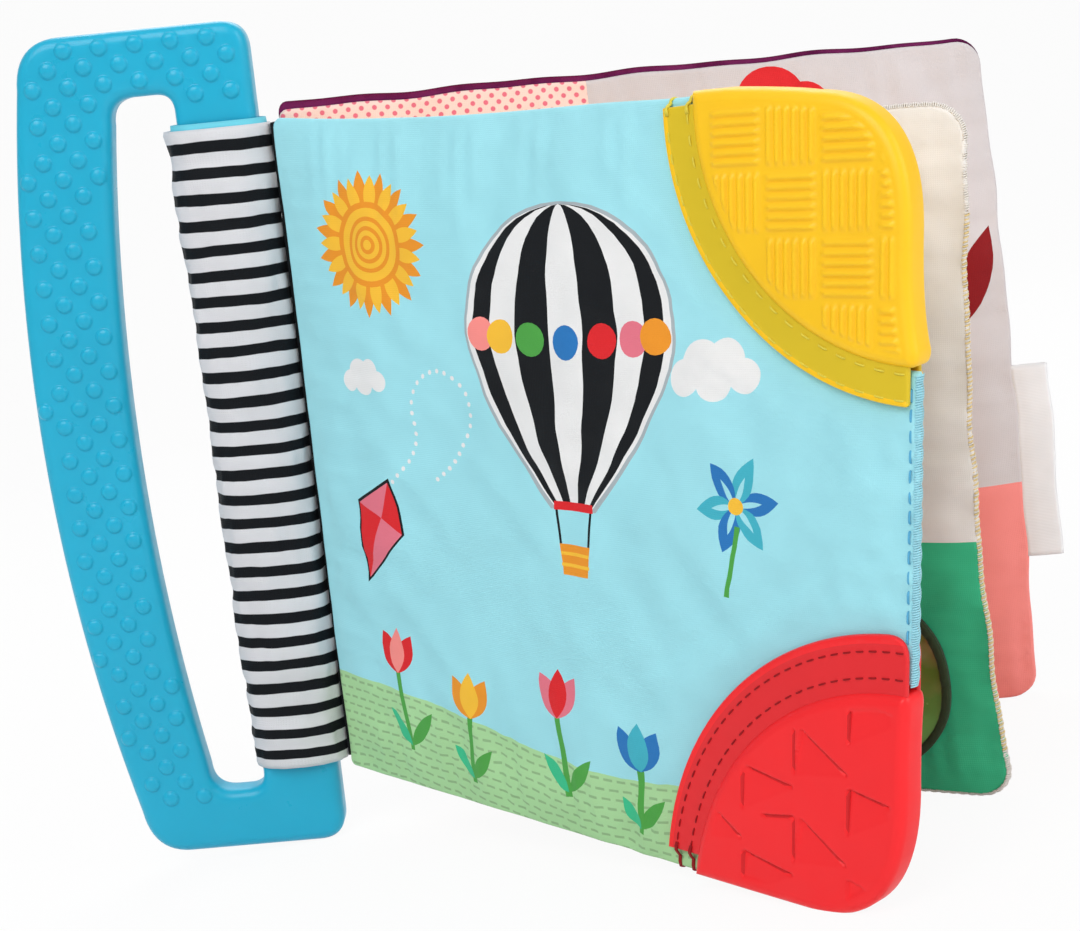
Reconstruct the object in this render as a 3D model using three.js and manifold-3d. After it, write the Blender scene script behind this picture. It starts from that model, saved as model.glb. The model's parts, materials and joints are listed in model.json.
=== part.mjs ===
// A soft cloth book on a D-shaped teething handle, stood open like a fan on three of its corners.
// Lengths are in millimetres, angles in degrees, +Z is up.
import * as THREE from 'three';
import { mergeVertices } from 'three/addons/utils/BufferGeometryUtils.js';
import Module from 'manifold-3d';

const wasm = await Module();
wasm.setup();

// Fits and cloths shared by every piece
const gap = 0.3;
const cloth = 0.8;
const filmThickness = 0.3;
const overrun = 5;

// Front and back covers
const coverWidth = 162;
const coverHeight = 154.5;
const coverThickness = 7.6;
const coverCorner = 6;
const backLift = 1.3;

// Middle page
const pageWidth = 154;
const pageHeight = 143.5;
const pageThickness = 6;
const pageCorner = 7;
const pageLift = 3.2;

// Padding: the flat seam margin, the distance over which a leaf swells, and the inset of the filling
const seamMargin = 2;
const crownReach = 28;
const paddingInset = 12;
const flatCellShare = 0.7;

// Fan: the mean angle of each leaf from the handle's plane, and its twist from top to bottom
const frontAngle = 41.6;
const frontTwist = 7.5;
const pageAngle = 25.3;
const pageTwist = 0;
const backAngle = -1.5;
const backTwist = 7;
const hingePitch = 4.5;

// Teething handle
const barWidth = 18.3;
const handleThickness = 8.6;
const handleEdge = 2.5;
const gripGap = 19.5;
const gripWidth = 21.8;
const handleTopReach = 22.4;
const handleBottomReach = 18.8;
const handleTopWall = 14.8;
const handleBottomWall = 14.6;
const gripTopBulge = 6.3;
const gripBottomBulge = 10.6;
const holeTopBulge = 4.9;
const holeBottomBulge = 6.5;
const barCorner = 6.5;
const gripCorner = 11;
const holeBarCorner = 4;
const holeGripCorner = 6;
const endBulgeShare = 0.125;

// Striped sleeve, its lining and the strips that join the leaves to it
const liningThickness = 0.6;
const boreWidth = 20.6;
const boreThickness = 10.6;
const sleeveInset = 1.5;
const liningReach = 1.6;
const tapeThickness = 0.6;
const tapeInset = 1;
const ribThickness = 1;
const ribReach = 3;
const bindingWidth = 13;
const bindingThickness = 0.7;
const bindingReach = 1.6;

// Corner teethers
const gripRadius = 49;
const gripThickness = 7;
const gripEdge = 1.4;
const gripCornerRadius = 25;
const gripRecess = 0.6;
const yellowOverhang = 0.5;
const yellowFall = 2;
const redOverhang = 1.5;
const redFall = 0.4;
const flangeWidth = 7.5;
const flangePly = 1.2;
const flangeEdge = 0.4;
const flangeEndInset = 3;
const slotFloor = 0.5;

// Stitching
const threadRadius = 0.45;
const stitchInset = 1.8;
const edgeCordRadius = 0.9;
const edgeCordInset = 6;

// Mirror on the page
const mirrorRadius = 18;
const mirrorFilm = 0.5;
const mirrorFromEdge = 29.6;
const mirrorRise = 25.2;
const rimWidth = 2.6;
const rimThickness = 1.5;

// Loop label on the back cover
const labelHeight = 45;
const labelReach = 8;
const labelRise = 33.5;
const labelThickness = 0.5;
const labelLoop = 0.6;

// Derived sizes
const seamHalf = cloth + gap / 2;
const liningHalfWidth = boreWidth / 2 + liningThickness;
const liningHalfThickness = boreThickness / 2 + liningThickness;
const sleeveHalfWidth = liningHalfWidth + gap + cloth;
const sleeveHalfThickness = liningHalfThickness + gap + cloth;
const tapeLeft = sleeveHalfWidth + gap;
const hingeX = tapeLeft + tapeThickness + gap + seamHalf;
const flangeRadius = gripRadius + flangeWidth;
const biteRadius = gripRadius + slotFloor + gap;
const slotHalf = seamHalf + gap;
const flangeHalf = slotHalf + flangePly;

// Curve steps
const cornerSteps = 2;
const gripSteps = 7;
const biteSteps = 28;
const mirrorSteps = 12;
const handleSteps = 7;
const sleeveSteps = 10;
const threadSides = 6;
const threadSteps = 20;
const cordSides = 8;
const cordSteps = 6;
const hingeSides = 8;
const labelSteps = 6;
const labelLevels = 3;
const edgeSteps = 2;

const degrees = THREE.MathUtils.degToRad;

// Geometry helpers

function toSolid(geometry) {
  const bare = geometry.clone();
  bare.deleteAttribute('normal');
  bare.deleteAttribute('uv');
  const merged = mergeVertices(bare);
  const vertProperties = new Float32Array(merged.attributes.position.array);
  const triVerts = new Uint32Array(merged.index.array);
  return new wasm.Manifold(new wasm.Mesh({ numProp: 3, vertProperties, triVerts }));
}

function toGeometry(solid) {
  const mesh = solid.getMesh();
  const geometry = new THREE.BufferGeometry();
  geometry.setAttribute('position', new THREE.Float32BufferAttribute(mesh.vertProperties, 3));
  geometry.setIndex(new THREE.Uint32BufferAttribute(mesh.triVerts, 1));
  return geometry;
}

// A flat outline in a leaf's plane (x outward, y up) becomes a plate centred on that plane.
function plate(outline, thickness, steps, edge = 0) {
  const options = {
    depth: thickness - edge * 2,
    bevelEnabled: edge > 0,
    bevelThickness: edge,
    bevelSize: edge,
    bevelOffset: -edge,
    bevelSegments: edgeSteps,
    curveSegments: steps,
  };
  const geometry = new THREE.ExtrudeGeometry(outline, options);
  geometry.translate(0, 0, -options.depth / 2);
  geometry.rotateX(Math.PI / 2);
  return geometry;
}

function roundedRectangle(left, bottom, right, top, radius) {
  const outline = new THREE.Shape();
  outline.moveTo(left + radius, bottom);
  outline.lineTo(right - radius, bottom);
  outline.absarc(right - radius, bottom + radius, radius, -Math.PI / 2, 0, false);
  outline.absarc(right - radius, top - radius, radius, 0, Math.PI / 2, false);
  outline.absarc(left + radius, top - radius, radius, Math.PI / 2, Math.PI, false);
  outline.absarc(left + radius, bottom + radius, radius, Math.PI, Math.PI * 1.5, false);
  return outline;
}

function disc(u, v, radius) {
  const outline = new THREE.Shape();
  outline.absarc(u, v, radius, 0, Math.PI * 2, false);
  return outline;
}

// Grid lines from 0 to length: one line at each inset, and even cells between them.
function gridLines(length, inset, cells) {
  const lines = [0];
  for (let k = 0; k <= cells; k += 1) {
    lines.push(inset + (length - inset * 2) * (k / cells));
  }
  lines.push(length);
  return lines;
}

// A closed sheet over a grid, between the heights lower(u, v) and upper(u, v) above the leaf's plane.
function sheet(us, vs, lower, upper) {
  const position = [];
  for (const height of [upper, lower]) {
    for (const v of vs) {
      for (const u of us) {
        position.push(u, -height(u, v), v);
      }
    }
  }
  const columns = us.length;
  const rows = vs.length;
  const at = (side, i, j) => side * columns * rows + j * columns + i;
  const index = [];
  for (let j = 0; j + 1 < rows; j += 1) {
    for (let i = 0; i + 1 < columns; i += 1) {
      index.push(at(0, i, j), at(0, i + 1, j), at(0, i + 1, j + 1));
      index.push(at(0, i, j), at(0, i + 1, j + 1), at(0, i, j + 1));
      index.push(at(1, i, j), at(1, i + 1, j + 1), at(1, i + 1, j));
      index.push(at(1, i, j), at(1, i, j + 1), at(1, i + 1, j + 1));
    }
  }
  const rim = [];
  for (let i = 0; i < columns - 1; i += 1) rim.push([i, 0]);
  for (let j = 0; j < rows - 1; j += 1) rim.push([columns - 1, j]);
  for (let i = columns - 1; i > 0; i -= 1) rim.push([i, rows - 1]);
  for (let j = rows - 1; j > 0; j -= 1) rim.push([0, j]);
  rim.forEach(([i, j], k) => {
    const [m, n] = rim[(k + 1) % rim.length];
    index.push(at(0, m, n), at(0, i, j), at(1, i, j));
    index.push(at(0, m, n), at(1, i, j), at(1, m, n));
  });
  const geometry = new THREE.BufferGeometry();
  geometry.setAttribute('position', new THREE.Float32BufferAttribute(position, 3));
  geometry.setIndex(index);
  return geometry;
}

// Turns each level of a leaf's piece about the hinge by its share of the leaf's twist.
function twisted(geometry, leaf) {
  const position = geometry.attributes.position;
  for (let k = 0; k < position.count; k += 1) {
    const x = position.getX(k);
    const y = position.getY(k);
    const turn = degrees(leaf.twist * (0.5 - position.getZ(k) / leaf.height));
    position.setX(k, x * Math.cos(turn) + y * Math.sin(turn));
    position.setY(k, y * Math.cos(turn) - x * Math.sin(turn));
  }
  return geometry;
}

function piece(name, geometry, colour, roughness) {
  const material = new THREE.MeshStandardMaterial({ color: colour, roughness, metalness: 0 });
  const mesh = new THREE.Mesh(geometry, material);
  mesh.name = name;
  return mesh;
}

// Leaves

function makeLeaf(width, height, thickness, corner, twist, columns, rows, grips) {
  const leaf = { width, height, thickness, corner, twist, grips };
  leaf.us = gridLines(width, paddingInset, columns);
  leaf.vs = gridLines(height, paddingInset, rows);
  const cellDiagonal = Math.hypot(leaf.us[2] - leaf.us[1], leaf.vs[2] - leaf.vs[1]);
  leaf.flatRadius = flangeRadius + cellDiagonal * flatCellShare;
  return leaf;
}

// Half the thickness of a leaf: flat at its seams and round its corner teethers, full in the middle.
function crown(leaf, u, v) {
  const rise = (distance) => 1 - (1 - THREE.MathUtils.clamp(distance / crownReach, 0, 1)) ** 2;
  let share = rise(u - seamMargin) * rise(leaf.width - seamMargin - u);
  share *= rise(v - seamMargin) * rise(leaf.height - seamMargin - v);
  for (const grip of leaf.grips) {
    share *= rise(Math.hypot(u - grip.u, v - grip.v) - leaf.flatRadius);
  }
  return seamHalf + (leaf.thickness / 2 - seamHalf) * share;
}

// The rounded outline of a leaf, or of its filling, as a block as thick as a cut needs.
function outlineBlock(leaf, inset) {
  const outline = roundedRectangle(inset, inset, leaf.width - inset, leaf.height - inset, leaf.corner);
  return toSolid(plate(outline, leaf.thickness + overrun * 2, cornerSteps));
}

// The round edge on which a leaf turns.
function hingeRound(leaf) {
  const height = leaf.height - leaf.corner * 2;
  const geometry = new THREE.CylinderGeometry(seamHalf, seamHalf, height, hingeSides);
  geometry.rotateX(Math.PI / 2);
  geometry.translate(0, 0, leaf.height / 2);
  return toSolid(geometry);
}

// Cuts a sheet to an outline, and clear of the leaf's corner teethers.
function trimmed(geometry, leaf, outline, radius) {
  let solid = toSolid(geometry).intersect(outline);
  for (const grip of leaf.grips) {
    const bite = plate(disc(grip.u, grip.v, radius), leaf.thickness + overrun * 2, biteSteps);
    solid = solid.subtract(toSolid(bite));
  }
  return twisted(toGeometry(solid), leaf);
}

function clothPanel(leaf, side) {
  const outer = (u, v) => side * crown(leaf, u, v);
  const inner = (u, v) => side * (crown(leaf, u, v) - cloth);
  const us = [-seamHalf, ...leaf.us];
  const raw = side > 0 ? sheet(us, leaf.vs, inner, outer) : sheet(us, leaf.vs, outer, inner);
  return trimmed(raw, leaf, outlineBlock(leaf, 0).add(hingeRound(leaf)), biteRadius);
}

function filling(leaf, lower, upper) {
  const raw = sheet(leaf.us.slice(1, -1), leaf.vs.slice(1, -1), lower, upper);
  return trimmed(raw, leaf, outlineBlock(leaf, paddingInset), leaf.flatRadius + paddingInset);
}

function padding(leaf) {
  const upper = (u, v) => crown(leaf, u, v) - cloth - gap;
  const lower = (u, v) => cloth + gap * 2 + filmThickness - crown(leaf, u, v);
  return filling(leaf, lower, upper);
}

function crinkleFilm(leaf) {
  const lower = (u, v) => cloth + gap - crown(leaf, u, v);
  const upper = (u, v) => lower(u, v) + filmThickness;
  return filling(leaf, lower, upper);
}

// A cord of stitches along a leaf's outer edge.
function edgeCord(leaf, from, to) {
  const radius = edgeCordRadius;
  const geometry = new THREE.CylinderGeometry(radius, radius, to - from, cordSides, cordSteps);
  geometry.rotateX(Math.PI / 2);
  geometry.translate(leaf.width + gap + radius, 0, (from + to) / 2);
  return twisted(geometry, leaf);
}

// A leaf turns about its own line beside the sleeve.
function leafGroup(reach, lift, angle, row, pieces) {
  const group = new THREE.Group();
  group.position.set(hingeX + reach, hingePitch * row, lift);
  group.rotation.z = -degrees(angle);
  group.add(...pieces);
  return group;
}

// Corner teethers: side is 1 at the leaf's top corner and -1 at its bottom corner.

// The grip's long edge lies inside the leaf's edge and falls away a little towards the corner.
function gripOutline(leaf, side, overhang, fall) {
  const edge = side > 0 ? leaf.height : 0;
  const far = edge - (gripRecess + fall) * side;
  const right = leaf.width + overhang;
  const start = -side * (Math.PI / 2 - Math.asin(overhang / gripRadius));
  const end = -side * (Math.PI - Math.asin(gripRecess / gripRadius));
  const outline = new THREE.Shape();
  outline.absarc(leaf.width, edge, gripRadius, start, end, side > 0);
  outline.lineTo(right - gripCornerRadius, far);
  outline.quadraticCurveTo(right, far, right, far - gripCornerRadius * side);
  return outline;
}

// A sector of a ring round the leaf's corner, short of the leaf's two edges by endInset.
function ringSector(leaf, side, inner, outer, endInset) {
  const edge = side > 0 ? leaf.height : 0;
  const trim = Math.asin(endInset / outer);
  const start = -side * (Math.PI / 2 + trim);
  const end = -side * (Math.PI - trim);
  const outline = new THREE.Shape();
  outline.absarc(leaf.width, edge, outer, start, end, side > 0);
  outline.absarc(leaf.width, edge, inner, end, start, side < 0);
  return outline;
}

function cornerTeether(leaf, side, overhang, fall) {
  const outline = gripOutline(leaf, side, overhang, fall);
  const body = toSolid(plate(outline, gripThickness, gripSteps, gripEdge));
  const root = gripRadius - gripEdge * 2;
  const flangeOutline = ringSector(leaf, side, root, flangeRadius, flangeEndInset);
  const flange = toSolid(plate(flangeOutline, flangeHalf * 2, gripSteps, flangeEdge));
  const slotOutline = ringSector(leaf, side, gripRadius + slotFloor, flangeRadius + overrun, 0);
  const slot = toSolid(plate(slotOutline, slotHalf * 2, gripSteps * 2));
  return twisted(toGeometry(body.add(flange).subtract(slot)), leaf);
}

// One row of stitches along the flange, lying on its face.
function stitchRow(leaf, side, radius) {
  const edge = side > 0 ? leaf.height : 0;
  const height = flangeHalf + gap + threadRadius;
  const trim = Math.asin((flangeEndInset + threadRadius) / radius);
  const points = [];
  for (let k = 0; k <= threadSteps; k += 1) {
    const turn = -side * (Math.PI / 2 + trim + (Math.PI / 2 - trim * 2) * (k / threadSteps));
    const u = leaf.width + radius * Math.cos(turn);
    const v = edge + radius * Math.sin(turn);
    points.push(new THREE.Vector3(u, -height, v));
  }
  const section = new THREE.Shape();
  for (let k = 0; k < threadSides; k += 1) {
    const turn = (Math.PI * 2 * k) / threadSides;
    section[k ? 'lineTo' : 'moveTo'](threadRadius * Math.cos(turn), threadRadius * Math.sin(turn));
  }
  const extrudePath = new THREE.CatmullRomCurve3(points);
  return twisted(new THREE.ExtrudeGeometry(section, { extrudePath, steps: threadSteps }), leaf);
}

// Mirror: pieces that follow the swell of the page's front cloth.

function onPageFront(leaf, outline, thickness) {
  const lower = (u, v) => crown(leaf, u, v) + gap;
  const upper = (u, v) => lower(u, v) + thickness;
  const layer = toSolid(sheet(leaf.us, leaf.vs, lower, upper));
  const cutter = toSolid(plate(outline, leaf.thickness + thickness * 2 + overrun * 2, mirrorSteps));
  return twisted(toGeometry(layer.intersect(cutter)), leaf);
}

// Loop label: a folded tape, open along the leaf's edge.
function loopLabel(leaf) {
  const half = labelThickness + labelLoop / 2;
  const start = leaf.width + gap;
  const bend = start + labelReach - half;
  const outline = new THREE.Shape();
  outline.moveTo(start, -half);
  outline.lineTo(bend, -half);
  outline.absarc(bend, 0, half, -Math.PI / 2, Math.PI / 2, false);
  outline.lineTo(start, half);
  outline.lineTo(start, labelLoop / 2);
  outline.lineTo(bend, labelLoop / 2);
  outline.absarc(bend, 0, labelLoop / 2, Math.PI / 2, -Math.PI / 2, true);
  outline.lineTo(start, -labelLoop / 2);
  const options = {
    depth: labelHeight,
    bevelEnabled: false,
    curveSegments: labelSteps,
    steps: labelLevels,
  };
  const geometry = new THREE.ExtrudeGeometry(outline, options);
  geometry.translate(0, 0, labelRise);
  return twisted(geometry, leaf);
}

// Handle

// A D outline: straight along the bar, bulging on the grip side.
function dOutline(path, right, side, top, bottom, topBulge, bottomBulge, barRadius, gripSideRadius) {
  const topX = side + topBulge;
  const bottomX = side + bottomBulge;
  const topEnd = top - gripSideRadius;
  const bottomEnd = bottom + gripSideRadius;
  path.moveTo(right, bottom + barRadius);
  path.lineTo(right, top - barRadius);
  path.quadraticCurveTo(right, top, right - barRadius, top);
  path.lineTo(topX + gripSideRadius, top);
  path.quadraticCurveTo(topX + topBulge * endBulgeShare, top, topX, topEnd);
  const bulge = side - (topX + bottomX) / 2;
  path.quadraticCurveTo(side + bulge, (topEnd + bottomEnd) / 2, bottomX, bottomEnd);
  path.quadraticCurveTo(bottomX + bottomBulge * endBulgeShare, bottom, bottomX + gripSideRadius, bottom);
  path.lineTo(right - barRadius, bottom);
  path.quadraticCurveTo(right, bottom, right, bottom + barRadius);
  return path;
}

function handleGeometry() {
  const right = barWidth / 2;
  const top = coverHeight + handleTopReach;
  const bottom = -handleBottomReach;
  const holeRight = -barWidth / 2;
  const holeSide = holeRight - gripGap;
  const side = holeSide - gripWidth;
  const outline = dOutline(new THREE.Shape(), right, side, top, bottom,
    gripTopBulge, gripBottomBulge, barCorner, gripCorner);
  outline.holes.push(dOutline(new THREE.Path(), holeRight, holeSide, top - handleTopWall,
    bottom + handleBottomWall, holeTopBulge, holeBottomBulge, holeBarCorner, holeGripCorner));
  const options = {
    depth: handleThickness - handleEdge * 2,
    bevelEnabled: true,
    bevelThickness: handleEdge,
    bevelSize: handleEdge,
    bevelOffset: -handleEdge,
    bevelSegments: edgeSteps,
    curveSegments: handleSteps,
  };
  const geometry = new THREE.ExtrudeGeometry(outline, options);
  geometry.translate(0, 0, -options.depth / 2);
  geometry.rotateX(Math.PI / 2);
  return geometry;
}

// Sleeve

// One level of a flattened tube: two half rounds joined by flats.
function flatRing(halfWidth, halfThickness, z) {
  const points = [];
  for (const end of [1, -1]) {
    for (let k = 0; k <= sleeveSteps; k += 1) {
      const turn = Math.PI * (k / sleeveSteps) - Math.PI / 2;
      const x = end * (halfWidth - halfThickness + halfThickness * Math.cos(turn));
      points.push([x, end * halfThickness * Math.sin(turn), z]);
    }
  }
  return points;
}

// A tube whose outer and inner walls have a ring at each level.
function flatTube(levels, halfWidth, halfThickness, wall) {
  const rings = [];
  for (const inset of [0, wall]) {
    for (const z of levels) {
      rings.push(flatRing(halfWidth - inset, halfThickness - inset, z));
    }
  }
  const count = rings[0].length;
  const position = rings.flat(2);
  const at = (ring, k) => ring * count + (k % count);
  const index = [];
  const strip = (low, high) => {
    for (let k = 0; k < count; k += 1) {
      index.push(at(low, k), at(low, k + 1), at(high, k + 1));
      index.push(at(low, k), at(high, k + 1), at(high, k));
    }
  };
  const last = levels.length - 1;
  for (let n = 0; n < last; n += 1) {
    strip(n, n + 1);
    strip(levels.length + n + 1, levels.length + n);
  }
  strip(last, levels.length + last);
  strip(levels.length, 0);
  const geometry = new THREE.BufferGeometry();
  geometry.setAttribute('position', new THREE.Float32BufferAttribute(position, 3));
  geometry.setIndex(index);
  return geometry;
}

function box(left, right, front, back, bottom, top) {
  const geometry = new THREE.BoxGeometry(right - left, back - front, top - bottom);
  geometry.translate((left + right) / 2, (front + back) / 2, (bottom + top) / 2);
  return geometry;
}

// The tape stands beside the sleeve, with a folded rib that carries the page past the covers' edges.
function gutterTape(half) {
  const right = tapeLeft + tapeThickness;
  const ribHalf = ribThickness / 2;
  const outline = new THREE.Shape();
  outline.moveTo(tapeLeft, -half);
  outline.lineTo(right, -half);
  outline.lineTo(right, -ribHalf);
  outline.lineTo(right + ribReach, -ribHalf);
  outline.lineTo(right + ribReach, ribHalf);
  outline.lineTo(right, ribHalf);
  outline.lineTo(right, half);
  outline.lineTo(tapeLeft, half);
  const options = { depth: coverHeight - tapeInset * 2, bevelEnabled: false };
  const geometry = new THREE.ExtrudeGeometry(outline, options);
  geometry.translate(0, 0, tapeInset);
  return geometry;
}

// Spine: the sleeve, its lining, the black binding behind it and the tape that the leaves are sewn to.
const sleeveBottom = sleeveInset;
const sleeveTop = coverHeight - sleeveInset;
const sleeveLevels = [sleeveBottom, coverHeight / 2, sleeveTop];
const sleeve = flatTube(sleeveLevels, sleeveHalfWidth, sleeveHalfThickness, cloth);
const liningLevels = [sleeveBottom - liningReach, sleeveTop + liningReach];
const lining = flatTube(liningLevels, liningHalfWidth, liningHalfThickness, liningThickness);

const tapeHalf = hingePitch - seamHalf + gap;
const tape = gutterTape(tapeHalf);

const bindingFront = sleeveHalfThickness + gap;
const binding = box(-bindingWidth / 2, bindingWidth / 2, bindingFront, bindingFront + bindingThickness,
  tapeInset, coverHeight + bindingReach);

const spine = new THREE.Group();
spine.add(
  piece('spine_sleeve', sleeve, 0xd8d8da, 0.85),
  piece('sleeve_lining', lining, 0x9bdce8, 0.8),
  piece('gutter_tape', tape, 0x161e26, 0.9),
  piece('spine_binding', binding, 0x161e26, 0.9),
);

const handle = piece('teether_handle', handleGeometry(), 0x2cafd2, 0.35);

// Front cover
const frontGrips = [{ u: coverWidth, v: 0 }, { u: coverWidth, v: coverHeight }];
const front = makeLeaf(coverWidth, coverHeight, coverThickness, coverCorner, frontTwist, 12, 10, frontGrips);
const outerRow = flangeRadius - stitchInset;
const innerRow = gripRadius + stitchInset;
const cordStart = flangeRadius + edgeCordInset / 2;
const frontCover = leafGroup(0, 0, frontAngle, -1, [
  piece('front_outer_panel', clothPanel(front, 1), 0xa5dcea, 0.85),
  piece('front_padding', padding(front), 0xf4f4f0, 0.95),
  piece('front_crinkle_film', crinkleFilm(front), 0xe8ecee, 0.3),
  piece('front_inner_panel', clothPanel(front, -1), 0xf2c84b, 0.85),
  piece('yellow_corner_teether', cornerTeether(front, 1, yellowOverhang, yellowFall), 0xfdc828, 0.4),
  piece('red_corner_teether', cornerTeether(front, -1, redOverhang, redFall), 0xe92f34, 0.4),
  piece('yellow_outer_stitch_row', stitchRow(front, 1, outerRow), 0xd9a320, 0.8),
  piece('yellow_inner_stitch_row', stitchRow(front, 1, innerRow), 0xd9a320, 0.8),
  piece('red_outer_stitch_row', stitchRow(front, -1, outerRow), 0x8c1a20, 0.8),
  piece('red_inner_stitch_row', stitchRow(front, -1, innerRow), 0x8c1a20, 0.8),
  piece('front_edge_stitching', edgeCord(front, cordStart, coverHeight - cordStart), 0x8fcfe4, 0.8),
]);

// Middle page
const page = makeLeaf(pageWidth, pageHeight, pageThickness, pageCorner, pageTwist, 10, 9, []);
const mirrorU = pageWidth - mirrorFromEdge;
const mirrorOutline = disc(mirrorU, mirrorRise, mirrorRadius);
const rimOutline = disc(mirrorU, mirrorRise, mirrorRadius + gap + rimWidth);
rimOutline.holes.push(disc(mirrorU, mirrorRise, mirrorRadius + gap));
const middlePage = leafGroup(ribReach, pageLift, pageAngle, 0, [
  piece('page_front_panel', clothPanel(page, 1), 0xe1d7cd, 0.85),
  piece('page_padding', padding(page), 0xf4f4f0, 0.95),
  piece('page_crinkle_film', crinkleFilm(page), 0xe8ecee, 0.3),
  piece('page_back_panel', clothPanel(page, -1), 0xf0b43c, 0.85),
  piece('mirror_film', onPageFront(page, mirrorOutline, mirrorFilm), 0xaeb59a, 0.1),
  piece('mirror_rim', onPageFront(page, rimOutline, rimThickness), 0x3a3f2e, 0.7),
  piece('page_edge_stitching', edgeCord(page, edgeCordInset, pageHeight - edgeCordInset), 0xf0a85a, 0.8),
]);

// Back cover
const back = makeLeaf(coverWidth, coverHeight, coverThickness, coverCorner, backTwist, 10, 9, []);
const backCover = leafGroup(0, backLift, backAngle, 1, [
  piece('back_inner_panel', clothPanel(back, 1), 0xefe4e6, 0.85),
  piece('back_padding', padding(back), 0xf4f4f0, 0.95),
  piece('back_crinkle_film', crinkleFilm(back), 0xe8ecee, 0.3),
  piece('back_outer_panel', clothPanel(back, -1), 0x78235f, 0.85),
  piece('loop_label', loopLabel(back), 0xf6f6f4, 0.8),
]);

// Stand: the book leans until its handle, front cover and back cover touch the ground together.

function lowestPoint(object) {
  const lowest = new THREE.Vector3(0, 0, Infinity);
  const point = new THREE.Vector3();
  object.traverse((mesh) => {
    if (!mesh.isMesh) return;
    const position = mesh.geometry.attributes.position;
    for (let k = 0; k < position.count; k += 1) {
      point.fromBufferAttribute(position, k).applyMatrix4(mesh.matrixWorld);
      if (point.z < lowest.z) lowest.copy(point);
    }
  });
  return lowest;
}

const book = new THREE.Group();
book.add(spine, handle, frontCover, middlePage, backCover);
const model = new THREE.Group();
model.add(book);

const feet = [handle, frontCover, backCover];
const up = new THREE.Vector3(0, 0, 1);
const levelPasses = 8;
for (let pass = 0; pass < levelPasses; pass += 1) {
  model.updateMatrixWorld(true);
  const [a, b, c] = feet.map(lowestPoint);
  const normal = b.sub(a).cross(c.sub(a)).normalize();
  book.quaternion.premultiply(new THREE.Quaternion().setFromUnitVectors(normal, up));
}

// The handle's plane stays along X, and the origin is on the ground under the middle of the book.
model.updateMatrixWorld(true);
const along = new THREE.Vector3(1, 0, 0).transformDirection(book.matrixWorld);
const turn = new THREE.Quaternion().setFromAxisAngle(up, -Math.atan2(along.y, along.x));
book.quaternion.premultiply(turn);
const bounds = new THREE.Box3().setFromObject(model, true);
const middle = bounds.getCenter(new THREE.Vector3());
book.position.set(-middle.x, -middle.y, -bounds.min.z);

export default model;
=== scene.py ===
"""Dresses a soft teether book: printed padded leaves, striped sleeve, silicone handle and corner teethers."""

import json
import math

import bpy
import numpy as np
from mathutils import Matrix, Vector, noise
from mathutils.geometry import delaunay_2d_cdt


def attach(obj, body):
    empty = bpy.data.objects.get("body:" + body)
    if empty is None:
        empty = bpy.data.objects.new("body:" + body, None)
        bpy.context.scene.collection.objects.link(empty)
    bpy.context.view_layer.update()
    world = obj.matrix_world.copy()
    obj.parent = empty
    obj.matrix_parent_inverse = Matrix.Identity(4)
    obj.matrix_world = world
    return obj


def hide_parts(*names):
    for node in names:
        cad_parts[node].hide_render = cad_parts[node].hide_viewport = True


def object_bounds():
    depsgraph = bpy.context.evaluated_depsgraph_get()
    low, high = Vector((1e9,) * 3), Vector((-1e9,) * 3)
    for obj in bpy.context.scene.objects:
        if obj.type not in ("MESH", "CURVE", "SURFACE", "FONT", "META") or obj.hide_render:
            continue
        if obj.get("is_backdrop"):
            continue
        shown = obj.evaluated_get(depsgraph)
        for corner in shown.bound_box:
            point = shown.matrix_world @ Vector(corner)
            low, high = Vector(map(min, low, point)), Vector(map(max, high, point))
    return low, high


bl_info = {
    "name": "Teether Book Finish",
    "version": (1, 0, 0),
    "blender": (4, 5, 0),
    "location": "3D View > Sidebar > Teether Book",
    "description": "Builds the cloth, silicone and thread pieces of a soft teether book on its packed frame",
    "category": "Object",
}

MM = 0.001

QUARTER = math.pi / 2
SPILL = 10 * MM  # how far a print runs past its leaf
PADDING_GAP = 1.5 * MM  # from a corner teether's flange to the padding
CLOTH_GAP = 0.8 * MM  # from a grip's arc to the cloth that is cut away for it
PAGE_LEAN_POWER, BACK_LEAN_POWER = 4, 0.6  # how late a bottom corner's lean sets in
NOISE_RANGE = (0.3, 0.7)  # where nearly all values of a noise texture lie

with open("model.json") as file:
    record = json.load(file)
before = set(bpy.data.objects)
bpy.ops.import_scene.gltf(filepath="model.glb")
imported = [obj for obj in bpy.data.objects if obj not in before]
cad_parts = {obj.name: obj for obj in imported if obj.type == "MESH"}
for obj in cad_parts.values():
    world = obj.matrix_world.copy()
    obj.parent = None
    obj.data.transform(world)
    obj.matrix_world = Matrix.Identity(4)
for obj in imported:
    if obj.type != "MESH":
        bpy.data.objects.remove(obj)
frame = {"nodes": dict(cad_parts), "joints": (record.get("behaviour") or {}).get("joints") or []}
cad_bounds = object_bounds()
joints = {joint["name"]: joint for joint in frame["joints"]}


# Property helpers

def linear(code):
    """The linear colour of a six-letter sRGB code."""
    parts = [int(code[k:k + 2], 16) / 255 for k in (0, 2, 4)]
    return tuple(c / 12.92 if c <= 0.04045 else ((c + 0.055) / 1.055) ** 2.4 for c in parts)


def length(name, millimetres, description):
    return bpy.props.FloatProperty(
        name=name, description=description, default=millimetres * MM, unit="LENGTH", precision=4)


def angle(name, degrees, description):
    return bpy.props.FloatProperty(
        name=name, description=description, default=math.radians(degrees), subtype="ANGLE")


def number(name, value, description):
    return bpy.props.FloatProperty(name=name, description=description, default=value, precision=3)


def count(name, value, description):
    return bpy.props.IntProperty(name=name, description=description, default=value, min=1)


def colour(name, code, description):
    return bpy.props.FloatVectorProperty(
        name=name, description=description, default=linear(code), subtype="COLOR", size=3, min=0, max=1)


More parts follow.
